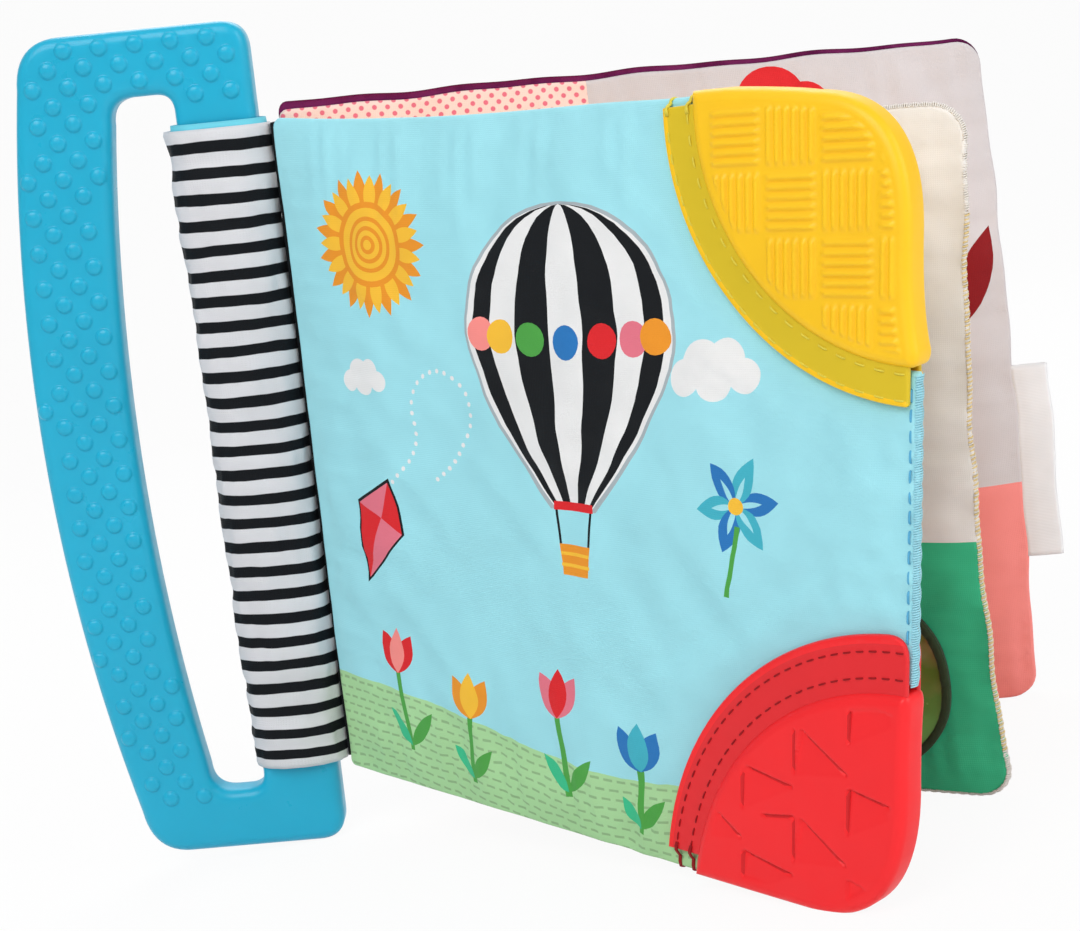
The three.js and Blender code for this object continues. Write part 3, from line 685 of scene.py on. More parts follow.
class Leaf:
    """A leaf's own coordinates: u out from the gutter, v up the spine, w towards its front face."""

    def __init__(self, joint, panels, width, height, thickness, corner, twist, grips, drawn):
        self.width, self.height, self.thickness = width, height, thickness
        self.corner, self.twist, self.grips = corner, twist, grips
        self.sag, self.draw, self.drop, self.lean, self.lean_power = drawn
        self.free = width - (grips[0].radius - 10 * MM if grips else 0)
        self.spine = Spine()
        self.origin = np.array(joints[joint]["pos_m"], float)
        self.angle = self.mean_angle(panels)
        self.front_swell = self.back_swell = None

    def mean_angle(self, panels):
        """The leaf's angle at its middle height, read from the outer edge of its packed panels."""
        found = []
        for panel in panels:
            mesh = frame["nodes"][panel].data
            points = np.empty(len(mesh.vertices) * 3)
            mesh.vertices.foreach_get("co", points)
            offset = points.reshape(-1, 3) - self.origin
            v = offset @ self.spine.up
            x, y = offset @ self.spine.across, offset @ self.spine.behind
            far = np.hypot(x, y) > self.width * 0.97
            turns = np.arctan2(-y[far], x[far]) - self.twist * (0.5 - v[far] / self.height)
            found.append(turns.mean())
        return float(np.mean(found))

    def world(self, u, v, w):
        """A point in the book's frame. The leaf's top and outer edges draw in between its corners."""
        u, v, w = np.broadcast_arrays(u, v, w)
        s, t = np.clip(u / self.free, 0, 1), np.clip(v / self.height, 0, 1)
        if self.grips:
            u = u - settings().leaf.gutter_reach * (1 - t) * np.exp(-np.maximum(u, 0) / (9 * MM))
        else:
            outwards = edge_ripple(v, 4.6 * MM, 2.7 * MM, 0.7, 1) * s ** 4
            v = v + edge_ripple(u, 6.1 * MM, 3.3 * MM, 0.8, 2) * t ** 6
            u = u + outwards
        v = v - (self.sag * 4 * s * (1 - s) + self.drop * s ** 2) * t ** 3
        u = u + (self.lean * (1 - t) ** self.lean_power - self.draw * 4 * t * (1 - t)) * s ** 3
        turn = self.angle + self.twist * (0.5 - v / self.height)
        x = u * np.cos(turn) - w * np.sin(turn)
        y = -u * np.sin(turn) - w * np.cos(turn)
        spine = self.spine
        return self.origin + x[..., None] * spine.across + y[..., None] * spine.behind + v[..., None] * spine.up

    def crown(self, u, v):
        """Half the leaf's thickness over its seams and padding, with the gathers beside the seams."""
        sizes = settings().leaf
        margin, reach = sizes.seam_margin, sizes.crown_reach

        def rise(gap):
            return 1 - (1 - np.clip(gap / reach, 0, 1)) ** 2

        share = rise(u - margin) * rise(self.width - margin - u)
        share = share * rise(v - margin) * rise(self.height - margin - v)
        for grip in self.grips:
            share = share * rise(grip.away(u, v) - grip.clear)
        return sizes.seam_half + (self.thickness / 2 - sizes.seam_half) * share

    def puckers(self, u, v, side):
        """Small gathers that run in from the seams and from the flanges."""
        sizes = settings().pucker
        total = np.zeros(np.shape(u))
        # Of each edge: distance from it, length along it, and how strongly it gathers
        edges = [(v, u, 1.0), (self.height - v, u, 1.0), (u, v, 0.7), (self.width - u, v, 0.8)]
        for grip in self.grips:
            along = np.arctan2(v - self.height / 2, u - self.width) * grip.clear
            edges.append((grip.away(u, v) - grip.clear, along, 0.8))
        for k, (gap, along, share) in enumerate(edges):
            seed = 11.3 * k + 5.7 * side
            wave = gathers(along / sizes.pitch + seed)
            t = np.clip(gap / sizes.reach, 0, 6)
            total += share * sizes.depth * wave * t * np.exp(1 - t)
        return total * self.away_from_grips(u, v)

    def away_from_grips(self, u, v):
        share = np.ones(np.shape(u))
        for grip in self.grips:
            share = share * np.clip((grip.away(u, v) - grip.clear) / (2 * MM), 0, 1)
        return share

    def face(self, points, side):
        """Height of the leaf's cloth above its middle plane, at flat points."""
        u, v = points.T
        height = self.crown(u, v) + self.puckers(u, v, side)
        swell = self.front_swell if side > 0 else self.back_swell
        if swell is not None:
            height = height + swell(u, v)
        return height


def edge_ripple(along, long, short, share, shift):
    """The slight waves of a leaf's free edge: a long one, and a share of a short one."""
    return 0.2 * MM * (np.sin(along / long) + share * np.sin(along / short + shift))


def gathers(t):
    """An uneven wave of period about 1, the same on each run."""
    return (0.55 * np.sin(2 * np.pi * t + 1.9 * np.sin(0.37 * 2 * np.pi * t))
            + 0.3 * np.sin(2 * np.pi * 1.73 * t + 0.8) + 0.25 * np.sin(2 * np.pi * 0.41 * t + 2.1))


def made_leaves():
    """The front cover, the page and the back cover."""
    s = settings().leaf
    grips = [Grip("red", -1, s.cover_width, s.cover_height), Grip("yellow", 1, s.cover_width, s.cover_height)]
    cover = (s.cover_width, s.cover_height, s.cover_thickness, s.cover_corner)
    page = (s.page_width, s.page_height, s.page_thickness, s.page_corner)
    return {
        "front": Leaf("front_cover_hinge", ("front_outer_panel", "front_inner_panel"), *cover, s.front_twist, grips,
                      (s.cover_sag, 0, 0, 0, 1)),
        "page": Leaf("page_hinge", ("page_front_panel", "page_back_panel"), *page, 0.0, (),
                     (0, s.page_draw, s.page_drop, s.page_lean, PAGE_LEAN_POWER)),
        "back": Leaf("back_cover_hinge", ("back_inner_panel", "back_outer_panel"), *cover, s.back_twist, (),
                     (0, -s.back_bulge, 0, s.back_lean, BACK_LEAN_POWER)),
    }


# Materials

class Shader:
    """A material's node tree, built up step by step."""

    def __init__(self, name, tint, roughness, **sockets):
        self.material = bpy.data.materials.new(name)
        self.material.use_nodes = True
        self.tree = self.material.node_tree
        self.base = self.tree.nodes["Principled BSDF"]
        self.base.inputs["Base Color"].default_value = (*tint, 1)
        self.base.inputs["Roughness"].default_value = roughness
        for socket, value in sockets.items():
            self.base.inputs[socket.replace("_", " ").title().replace("Ior", "IOR")].default_value = value

    def node(self, kind, **values):
        made = self.tree.nodes.new(kind)
        for name, value in values.items():
            setattr(made, name, value)
        return made

    def link(self, source, target):
        self.tree.links.new(source, target)

    def coordinates(self, layer="cloth"):
        return self.node("ShaderNodeUVMap", uv_map=layer).outputs["UV"]

    def split(self, vector):
        parts = self.node("ShaderNodeSeparateXYZ")
        self.link(vector, parts.inputs[0])
        return parts.outputs["X"], parts.outputs["Y"]

    def object_coordinates(self):
        return self.node("ShaderNodeTexCoord").outputs["Object"]

    def noise(self, vector, size, detail=2.0, roughness=0.5):
        made = self.node("ShaderNodeTexNoise")
        made.inputs["Scale"].default_value = 1 / size
        made.inputs["Detail"].default_value = detail
        made.inputs["Roughness"].default_value = roughness
        self.link(vector, made.inputs["Vector"])
        return made.outputs["Fac"]

    def bands(self, vector, period, direction):
        made = self.node("ShaderNodeTexWave", wave_type="BANDS", bands_direction=direction)
        made.inputs["Scale"].default_value = 2 * math.pi / (20 * period)
        self.link(vector, made.inputs["Vector"])
        return made.outputs["Fac"]

    def math(self, operation, a, b=None, c=None):
        made = self.node("ShaderNodeMath", operation=operation)
        for k, value in enumerate((a, b, c)):
            if value is None:
                continue
            if isinstance(value, (int, float)):
                made.inputs[k].default_value = value
            else:
                self.link(value, made.inputs[k])
        return made.outputs[0]

    def off_middle(self, value):
        """How far a value lies from the middle of its whole step."""
        return self.math("ABSOLUTE", self.math("SUBTRACT", self.math("FRACT", value), 0.5))

    def remap(self, value, low, high, to_low, to_high):
        made = self.node("ShaderNodeMapRange")
        for socket, limit in (("From Min", low), ("From Max", high), ("To Min", to_low), ("To Max", to_high)):
            made.inputs[socket].default_value = limit
        self.link(value, made.inputs["Value"])
        return made.outputs["Result"]

    def cloud(self, vector, size, detail=2.0, low=0, high=1):
        """Soft spots whose values run from low to high."""
        return self.remap(self.noise(vector, size, detail), *NOISE_RANGE, low, high)

    def faded(self, vector, tint, share, size, detail=2.0):
        """A tint with soft spots dimmed to a share of it."""
        return self.mixed(self.cloud(vector, size, detail), dimmed(tint, share), tint)

    def mixed(self, share, a, b):
        """A colour between a and b, which are colours or outputs."""
        made = self.node("ShaderNodeMix", data_type="RGBA")
        for k, value in ((6, a), (7, b)):
            if hasattr(value, "__len__"):
                made.inputs[k].default_value = (*value[:3], 1)
            else:
                self.link(value, made.inputs[k])
        self.link(share, made.inputs[0])
        return made.outputs[2]

    def paint(self, output):
        self.link(output, self.base.inputs["Base Color"])

    def rough(self, output):
        self.link(output, self.base.inputs["Roughness"])

    def bump(self, height, distance, strength=1.0):
        """Adds a relief; later ones ride on earlier ones."""
        made = self.node("ShaderNodeBump")
        made.inputs["Distance"].default_value = distance
        made.inputs["Strength"].default_value = strength
        self.link(height, made.inputs["Height"])
        normal = self.base.inputs["Normal"]
        if normal.is_linked:
            self.link(normal.links[0].from_socket, made.inputs["Normal"])
        self.link(made.outputs["Normal"], normal)


def dimmed(tint, share):
    return tuple(c * share for c in tint[:3])


def weave(shader, vector, thread=0.42 * MM, depth=0.05 * MM):
    """Crossed threads with slubs, as relief."""
    warp = shader.bands(vector, thread, "X")
    weft = shader.bands(vector, thread, "Y")
    shader.bump(shader.math("MAXIMUM", warp, weft), depth, 0.6)
    shader.bump(shader.noise(vector, 9 * MM, 3), 0.35 * MM, 0.35)


def cloth_shader(name, tint, roughness=0.62, sheen=0.1, specular=0.2):
    return Shader(name, tint, roughness, sheen_weight=sheen, sheen_roughness=0.4, specular_ior_level=specular)


def cloth_material(name, tint, roughness=0.62):
    """Smooth printed polyester: a fine weave, soft sheen and slight fading."""
    shader = cloth_shader(name, tint, roughness)
    vector = shader.coordinates()
    shader.paint(shader.faded(vector, tint, 0.93, 26 * MM, 3))
    shader.rough(shader.cloud(vector, 7 * MM, 2, roughness - 0.06, roughness + 0.06))
    weave(shader, vector)
    return shader.material


def dotted_material(name, ground, dot, pitch, radius):
    """Printed dots in staggered rows."""
    shader = cloth_shader(name, ground)
    vector = shader.coordinates()
    spots = []
    for shift in (0.0, 0.5):
        gaps = []
        for place in shader.split(vector):
            cell = shader.math("FRACT", shader.math("ADD", shader.math("DIVIDE", place, pitch), shift))
            gaps.append(shader.math("POWER", shader.math("SUBTRACT", cell, 0.5), 2.0))
        spots.append(shader.math("SQRT", shader.math("ADD", *gaps)))
    nearest = shader.math("MINIMUM", *spots)
    edge, blur = radius / pitch, 0.03
    spot = shader.remap(nearest, edge - blur, edge + blur, 1, 0)
    shader.paint(shader.mixed(spot, ground, dot))
    weave(shader, vector)
    return shader.material


def gingham_material(name, pale, deep, pitch):
    """Woven checks: two overlaid rows of bands."""
    shader = cloth_shader(name, pale, 0.64)
    vector = shader.coordinates()
    bands = [shader.remap(shader.bands(vector, pitch, axis), 0.45, 0.55, 0, 0.5) for axis in ("X", "Y")]
    shader.paint(shader.mixed(shader.math("ADD", *bands), pale, deep))
    weave(shader, vector)
    return shader.material


def meadow_material(name, tint):
    """Hill cloth with printed broken lines that follow the hill's top."""
    shader = cloth_shader(name, tint)
    vector = shader.coordinates("rows")
    along, up = shader.split(vector)
    row_pitch, dash_pitch = 2.2 * MM, 3.4 * MM
    wobble = shader.remap(shader.noise(vector, 12 * MM), 0, 1, -0.5, 0.5)
    row = shader.math("ADD", shader.math("DIVIDE", up, row_pitch), wobble)
    line = shader.remap(shader.off_middle(row), 0.09, 0.16, 1, 0)
    shift = shader.math("MULTIPLY", shader.math("FLOOR", row), 0.37)
    place = shader.math("ADD", shader.math("DIVIDE", along, dash_pitch), shift)
    dash = shader.remap(shader.off_middle(place), 0.3, 0.36, 1, 0)
    mark = shader.math("MULTIPLY", shader.math("MULTIPLY", line, dash), 0.55)
    shader.paint(shader.mixed(mark, shader.faded(vector, tint, 0.92, 20 * MM), dimmed(tint, 0.42)))
    weave(shader, shader.coordinates("cloth"))
    return shader.material


def stripe_material(name, pale, dark):
    """Woven stripes across the sleeve."""
    sizes = settings().sleeve
    height = settings().leaf.cover_height - 2 * sizes.inset
    step = height / sizes.stripes
    shader = cloth_shader(name, pale, sheen=0.04, specular=0.15)
    vector = shader.coordinates()
    _, up = shader.split(vector)
    wobble = shader.remap(shader.noise(vector, 16 * MM, 3), 0.2, 0.8, -0.08, 0.08)
    bunch = shader.math("EXPONENT", shader.math("DIVIDE", up, -8 * MM))
    place = shader.math("SUBTRACT", up, shader.math("MULTIPLY_ADD", bunch, 1.9 * MM, 1 * MM))
    level = shader.math("ADD", shader.math("DIVIDE", place, step), wobble)
    half, blur = sizes.stripe_share / 2, 0.012
    share = shader.remap(shader.off_middle(level), half - blur, half + blur, 1, 0)
    share = shader.math("MULTIPLY", share, shader.remap(level, 0.05, 0.06, 0, 1))
    shader.paint(shader.mixed(share, shader.faded(vector, pale, 0.9, 14 * MM, 3), dark))
    weave(shader, vector, 0.5 * MM, 0.07 * MM)
    return shader.material


def silicone_material(name, tint, roughness, glow, gloss=0.0):
    """Moulded silicone: soft light inside, a faint bloom and tiny surface waves."""
    shader = Shader(name, tint, roughness, coat_weight=gloss, coat_roughness=0.16, specular_ior_level=0.32)
    shader.base.inputs["Subsurface Weight"].default_value = glow
    shader.base.inputs["Subsurface Radius"].default_value = (1, 1, 1)
    shader.base.inputs["Subsurface Scale"].default_value = 2 * MM
    vector = shader.object_coordinates()
    shader.paint(shader.faded(vector, tint, 0.94, 30 * MM, 3))
    shader.rough(shader.cloud(vector, 5 * MM, 4, roughness - 0.05, roughness + 0.07))
    shader.bump(shader.noise(vector, 0.7 * MM, 3), 0.02 * MM, 0.5)
    shader.bump(shader.noise(vector, 14 * MM, 2), 0.3 * MM, 0.25)
    return shader.material


def mottled_material(shader, tint, spots, share, grain, depth, strength):
    """Spots dimmed to a share of the tint, over a relief of grains. spots and grain are what noise takes."""
    vector = shader.object_coordinates()
    shader.paint(shader.mixed(shader.noise(vector, *spots), dimmed(tint, share), tint))
    shader.bump(shader.noise(vector, *grain), depth, strength)
    return shader.material


def thread_material(name, tint):
    """Spun thread with a twist."""
    shader = Shader(name, tint, 0.6, sheen_weight=0.08, sheen_roughness=0.3, specular_ior_level=0.2)
    return mottled_material(shader, tint, (0.6 * MM,), 0.75, (0.25 * MM,), 0.06 * MM, 0.6)


def film_material(name, tint):
    """Thin crinkle film, clouded by creases."""
    return mottled_material(Shader(name, tint, 0.3), tint, (8 * MM, 4), 0.85, (5 * MM, 5, 0.7), 0.6 * MM, 0.7)


def fibre_material(name, tint):
    """Loose fibre filling."""
    shader = Shader(name, tint, 0.9, sheen_weight=0.4, sheen_roughness=0.6)
    return mottled_material(shader, tint, (2 * MM, 5, 0.7), 0.8, (1.2 * MM, 5, 0.7), 0.5 * MM, 0.8)


def mirror_material(name, tint):
    """Silvered plastic film with soft ripples, its colour mixed with green and olive patches: a painted reflection of
    the green cloth.
    """
    shader = Shader(name, tint, 0.24, metallic=0.35)
    vector = shader.object_coordinates()
    # Green and olive patches over the tan tint: painted reflection of the page's green cloth
    reflection_patch = shader.remap(shader.noise(vector, 13 * MM, 2), 0.4, 0.6, 0, 1)
    tone = shader.remap(shader.noise(vector, 18 * MM, 3), 0.46, 0.62, 0, 1)
    shader.paint(shader.mixed(tone, shader.mixed(reflection_patch, linear("5C8A34"), linear("8E9450")), tint))
    shader.rough(shader.cloud(vector, 6 * MM, 4, 0.18, 0.3))
    shader.bump(shader.noise(vector, 16 * MM, 2), 1.2 * MM, 0.5)
    return shader.material


# Prints: each shape is a colour's name and a closed outline

def disc(name, centre, radius, steps=28):
    return name, circle(np.array(centre) * MM, radius * MM, steps)


def turned(points, centre, degrees):
    c, s = math.cos(math.radians(degrees)), math.sin(math.radians(degrees))
    return (np.array(centre) + np.asarray(points) @ np.array([[c, s], [-s, c]])) * MM


def petal(name, foot, reach, width, degrees):
    """A leaf or petal from its foot, pointed at both ends."""
    right = curve((0, 0), (reach * 0.45, -width), (reach, 0), 9)
    left = curve((reach, 0), (reach * 0.45, width), (0, 0), 9)
    return name, turned(joined(right, left), foot, degrees)


def bar(name, start, end, width):
    """A straight strip between two points."""
    a, b = np.array(start, float), np.array(end, float)
    side = np.array([a[1] - b[1], b[0] - a[0]])
    side *= width / 2 / np.linalg.norm(side)
    return name, np.array([a - side, b - side, b + side, a + side]) * MM


def cloud(centre, scale):
    """A cloud of overlapping discs on a flat foot."""
    cu, cv = centre
    puffs = ((-7, 0, 4), (-2.5, 3, 5.2), (3.5, 3.8, 4.6), (8, 0.5, 3.8), (0.5, -0.4, 4.6))
    return [disc("white", (cu + u * scale, cv + v * scale), r * scale) for u, v, r in puffs]


def sun(centre, radius):
    """A sun: two rings of rays, under discs in two tones by turns."""
    shapes = []
    for tone, reach, width, shift in (("orange", 1.02, 0.36, 0), ("sun", 0.9, 0.34, 12)):
        for degrees in range(shift, shift + 360, 24):
            turn = math.radians(degrees)
            foot = (centre[0] + 0.72 * radius * math.cos(turn), centre[1] + 0.72 * radius * math.sin(turn))
            shapes.append(petal(tone, foot, radius * reach, radius * width, degrees))
    shapes += [disc("orange", centre, radius, 40), disc("sun", centre, radius * 0.86, 40)]
    for k in range(3):
        for tone, share in (("orange", 0.66), ("sun", 0.56)):
            shapes.append(disc(tone, centre, radius * (share - 0.22 * k), 36))
    return shapes


def balloon(centre, radius):
    """A striped hot-air balloon: black and white gores, a scalloped belt, ropes and a basket."""
    cu, cv = centre
    drop, mouth = radius * 1.32, radius * 0.2

    def half_width(v):
        rise = np.clip(v / radius, -1, 1)
        round_part = np.sqrt(1 - rise ** 2)
        t = np.clip(-v / drop, 0, 1)
        cone = mouth / radius + (1 - mouth / radius) * (1 - t ** 1.6)
        return radius * np.where(v > 0, round_part, cone)

    levels = np.concatenate([np.linspace(-drop, 0, 12), radius * np.sin(np.linspace(0.12, QUARTER, 11))])
    gores = 9
    edges = np.sin(np.linspace(-QUARTER, QUARTER, gores + 1))

    def gore(tone, left, right, rises):
        sides = (np.column_stack([cu + side, cv + rises]) for side in (right, left))
        return tone, joined(next(sides), next(sides)[::-1]) * MM

    widths = half_width(levels)
    rim = widths + 0.7
    shapes = [gore("grey", -rim, rim, levels * 1.02)]
    for k, (a, b) in enumerate(zip(edges, edges[1:])):
        shapes.append(gore("black" if k % 2 else "white", widths * a, widths * b, levels))
    belt = ("coral", "sun", "leaf", "blue", "red", "rose", "orange")
    for k, tone in enumerate(belt):
        s = math.sin((k - 3) * 0.39)
        shapes.append(disc(tone, (cu + radius * 0.93 * s, cv - 1.5 + 0.5 * abs(k - 3)), radius * 0.135, 20))
    foot = cv - drop
    for s in (-1, 1):
        shapes.append(bar("black", (cu + s * mouth * 0.9, foot), (cu + s * mouth * 0.75, foot - 8), 0.6))
    shapes.append(bar("red", (cu - mouth, foot), (cu + mouth, foot), 1.8))
    basket = [(cu - 4.4, foot - 8), (cu - 3.6, foot - 14.5), (cu + 3.6, foot - 14.5), (cu + 4.4, foot - 8)]
    shapes.append(("orange", np.array(basket) * MM))
    for k in range(2):
        shapes.append(bar("sun", (cu - 4.1, foot - 10 - 2.4 * k), (cu + 4.1, foot - 10 - 2.4 * k), 0.7))
    return shapes


def kite(centre, scale, degrees, tones):
    """A kite of four panels in a dark outline."""
    corners = [(0, 13), (8, 3), (0, -14), (-8, 3)]
    shapes = [("black", turned(np.array(corners) * scale * 1.09, centre, degrees))]
    for k in range(4):
        panel = np.array([(0, 3), corners[k], corners[(k + 1) % 4]]) * scale
        shapes.append((tones[k % len(tones)], turned(panel, centre, degrees)))
    return shapes


def pinwheel(centre, reach, tones):
    """A toy windmill: pointed blades round a button."""
    shapes = []
    for k in range(6):
        shapes.append(petal(tones[k % len(tones)], centre, reach, reach * 0.46, 60 * k + 8))
        shapes.append(petal("sky", centre, reach * 0.62, reach * 0.12, 60 * k + 8))
    shapes.append(disc("sun", centre, reach * 0.17, 18))
    return shapes


def tulip(foot, height, lean, tones):
    """A tulip: stem, two leaves and a cup of three petals."""
    u, v = foot
    top = (u + lean, v + height)
    shapes = [bar("leaf", foot, top, 1.5)]
    shapes.append(petal("leaf", (u, v + 1), height * 0.62, 3.4, 48))
    shapes.append(petal("forest", (u, v + 1), height * 0.52, 3.2, 128))
    for degrees, tone in ((62, tones[0]), (118, tones[0]), (90, tones[1])):
        shapes.append(petal(tone, (top[0], top[1] - 1.5), 10.5, 5.2, degrees))
    return shapes


def trail(points):
    """White dots along a smooth run of points."""
    radius, pitch = 0.55, 2.4
    path = np.array(points, float)
    for _ in range(4):
        cut = np.column_stack([0.75 * path[:-1] + 0.25 * path[1:], 0.25 * path[:-1] + 0.75 * path[1:]])
        path = np.vstack([path[:1], cut.reshape(-1, 2), path[-1:]])
    steps = np.linalg.norm(np.diff(path, axis=0), axis=1)
    travelled = np.concatenate([[0], np.cumsum(steps)])
    places = np.arange(0, travelled[-1], pitch)
    us, vs = (np.interp(places, travelled, values) for values in path.T)
    return [disc("white", spot, radius, 8) for spot in zip(us, vs)]


def hill_top(u):
    """Height of the hill in the front cover's print."""
    return (21.5 + 3.4 * np.cos(2 * np.pi * (u / MM - 14) / 150) - 0.02 * u / MM) * MM


def ground(tone, leaf, top):
    """The lower part of a leaf, up to a level."""
    right = leaf.width + SPILL
    return tone, np.array([[-SPILL, -SPILL], [right, -SPILL], [right, top * MM], [-SPILL, top * MM]])


def front_print(leaf):
    us = np.linspace(-SPILL, leaf.width + SPILL, 60)
    hill = joined(np.column_stack([us, hill_top(us)])[::-1], [[-SPILL, -SPILL], [leaf.width + SPILL, -SPILL]])
    shapes = [("meadow", hill)]
    shapes += cloud((118, 100), 0.9)
    shapes += cloud((22, 96), 0.62)
    shapes += sun((28, 127), 9.5)
    shapes += trail([(27, 72), (38, 82), (36, 96), (47, 101), (56, 92), (50, 80), (41, 74)])
    shapes += kite((22, 62), 0.95, -24, ("red", "rose"))
    shapes += pinwheel((124, 76), 10, ("blue", "teal"))
    shapes += [bar("leaf", (124, 72), (121, 58), 1.1)]
    shapes += balloon((82, 108), 27)
    shapes += tulip((26, 10), 20, -1.5, ("red", "coral"))
    shapes += tulip((46, 6), 17, 1.5, ("orange", "sun"))
    shapes += tulip((76, 9), 19, -1, ("rose", "red"))
    shapes += tulip((96, 5), 15, 1, ("blue", "teal"))
    return shapes


def front_inner_print(leaf):
    """A pale picture in a sun-yellow border."""
    border = 9 * MM
    shapes = [("cream", rounded_rectangle(border, border, leaf.width - border, leaf.height - border, 8 * MM))]
    shapes += cloud((40, 122), 1.0)
    shapes += cloud((84, 104), 0.8)
    shapes += kite((52, 78), 1.2, 20, ("orange", "sun"))
    shapes += pinwheel((100, 72), 13, ("red", "rose"))
    shapes += tulip((30, 20), 26, 1, ("rose", "red"))
    shapes += tulip((58, 16), 22, -1, ("blue", "teal"))
    shapes += tulip((84, 20), 24, 1, ("orange", "sun"))
    return shapes


def page_front_print(leaf):
    shapes = [ground("forest", leaf, 55)]
    shapes += cloud((96, 112), 0.9)
    shapes += sun((42, 100), 13)
    for k, tone in enumerate(("red", "orange", "sun", "rose")):
        shapes += tulip((22 + 19 * k, 22 + 5 * (k % 2)), 34, (-1) ** k * 2, (tone, "coral"))
    return shapes


def page_back_print():
    shapes = [disc(tone, spot, radius, steps) for tone, radius, steps in (("orange", 13, 40), ("cream", 9, 36))
              for spot in ((40, 40), (110, 104))]
    shapes += pinwheel((40, 106), 17, ("red", "blue"))
    return shapes


def back_inner_print(leaf):
    band = rounded_rectangle(-SPILL, leaf.height - 40 * MM, 70 * MM, leaf.height + SPILL, 0.1 * MM, 1)
    shapes = [ground("coral", leaf, 51.3), ("dots", band)]
    shapes += [disc("red", (u, v), r) for u, v, r in ((112, 145.5, 8), (106, 142, 6), (119.5, 142.5, 6.5))]
    shapes.append(petal("ruby", (149, 88), 26, 8, 66))
    shapes += tulip((60, 16), 46, 3, ("red", "rose"))
    shapes += tulip((92, 12), 38, -3, ("orange", "sun"))
    return shapes


def print_materials():
    """Every print colour as a cloth of its own."""
    c = settings().colours
    tones = {name: cloth_material(name + "_print", getattr(c, name)) for name in (
        "sky", "white", "black", "red", "rose", "coral", "orange", "sun", "leaf", "forest", "blue",
        "cream", "blush", "plum")}
    for name, code in (("grey", "A9B4BA"), ("teal", "43B4C8"), ("ruby", "8C0B12")):
        tones[name] = cloth_material(name + "_print", linear(code))
    tones["meadow"] = meadow_material("meadow_print", c.hill)
    tones["dots"] = dotted_material("dotted_print", linear("F9DBD0"), linear("EA7488"), 3.0 * MM, 0.56 * MM)
    tones["gingham"] = gingham_material("gingham_print", linear("FFE7A8"), linear("F3A51E"), 7 * MM)
    return tones


# Cloth simulation: the padding presses the sewn cloth outwards, and the seams hold it

class Swell:
    """A smooth surface through a grid of heights, as cubic splines."""

    def __init__(self, width, height, grid):
        self.width, self.height = width, height
        self.rows, self.columns = grid.shape
        self.grid = np.pad(grid, 2, mode="edge")

    @staticmethod
    def weights(t):
        return ((1 - t) ** 3 / 6, (3 * t ** 3 - 6 * t ** 2 + 4) / 6,
                (-3 * t ** 3 + 3 * t ** 2 + 3 * t + 1) / 6, t ** 3 / 6)

    def __call__(self, u, v):
        x = np.clip(u / self.width, 0, 1) * (self.columns - 1)
        y = np.clip(v / self.height, 0, 1) * (self.rows - 1)
        i = np.minimum(x.astype(int), self.columns - 2)
        j = np.minimum(y.astype(int), self.rows - 2)
        total = np.zeros(np.shape(u))
        for b, wy in enumerate(self.weights(y - j)):
            for a, wx in enumerate(self.weights(x - i)):
                total += wx * wy * self.grid[j + b + 1, i + a + 1]
        return total


def inflate(leaf, seed, mirror=None):
    """Blows the sewn cloth of a leaf up by simulation and keeps what each face gains as a Swell."""
    sizes, scale = settings().swell, 10  # the cloth is simulated at ten times its size
    sewn, round_mirror, uneven = 1.2 * MM, 4 * MM, 0.06 * MM
    columns, rows = (int(side / sizes.spacing) + 1 for side in (leaf.width, leaf.height))
    u, v = np.meshgrid(np.linspace(0, leaf.width, columns), np.linspace(0, leaf.height, rows))
    crown = leaf.crown(u, v)
    slack = np.random.default_rng(seed).normal(0, uneven, crown.shape)
    grid = np.dstack([u, v, np.zeros_like(u)]) * scale
    points, faces, _ = thick_grid(grid, (2 * crown + slack) * scale)
    cloth = make_piece("simulated_cloth", points, faces, [])
    held = np.minimum.reduce([u, leaf.width - u, v, leaf.height - v]) < sewn
    for grip in leaf.grips:
        held |= grip.away(u, v) < grip.clear
    if mirror:
        held |= np.hypot(*(np.dstack([u, v]) - mirror_centre(leaf, mirror)).T).T < mirror.radius + round_mirror
    both = doubled(held.ravel())
    group = cloth.vertex_groups.new(name="hold")
    group.add([int(k) for k in np.flatnonzero(both)], 1.0, "REPLACE")
    group.add([int(k) for k in np.flatnonzero(~both)], sizes.hold, "REPLACE")
    modifier = cloth.modifiers.new("padding", "CLOTH")
    modifier.collision_settings.use_collision = False
    rules = modifier.settings
    rules.quality, rules.mass = 6, 0.3
    rules.tension_stiffness = rules.compression_stiffness = 15
    rules.shear_stiffness, rules.bending_stiffness = 5, sizes.bending
    rules.vertex_group_mass, rules.pin_stiffness = "hold", 1
    rules.shrink_min = rules.shrink_max = -sizes.growth
    rules.use_pressure, rules.uniform_pressure_force = True, sizes.pressure
    rules.effector_weights.gravity = 0
    scene = bpy.context.scene
    for step in range(1, sizes.frames + 1):
        scene.frame_set(step)
    result = cloth.evaluated_get(bpy.context.evaluated_depsgraph_get()).data
    moved = np.empty(len(result.vertices) * 3)
    result.vertices.foreach_get("co", moved)
    scene.frame_set(1)
    bpy.data.objects.remove(cloth)
    heights = moved.reshape(2, rows, columns, 3)[..., 2] / scale
    full = (crown - crown.min()) / (crown.max() - crown.min())
    swells = []
    for side, height in ((1, heights[0]), (-1, heights[1])):
        gain = side * height - crown
        gain -= full * (gain * full).sum() / (full ** 2).sum()
        swells.append(Swell(leaf.width, leaf.height, sizes.limit * np.tanh(gain / sizes.limit)))
    leaf.front_swell, leaf.back_swell = swells


# The stage

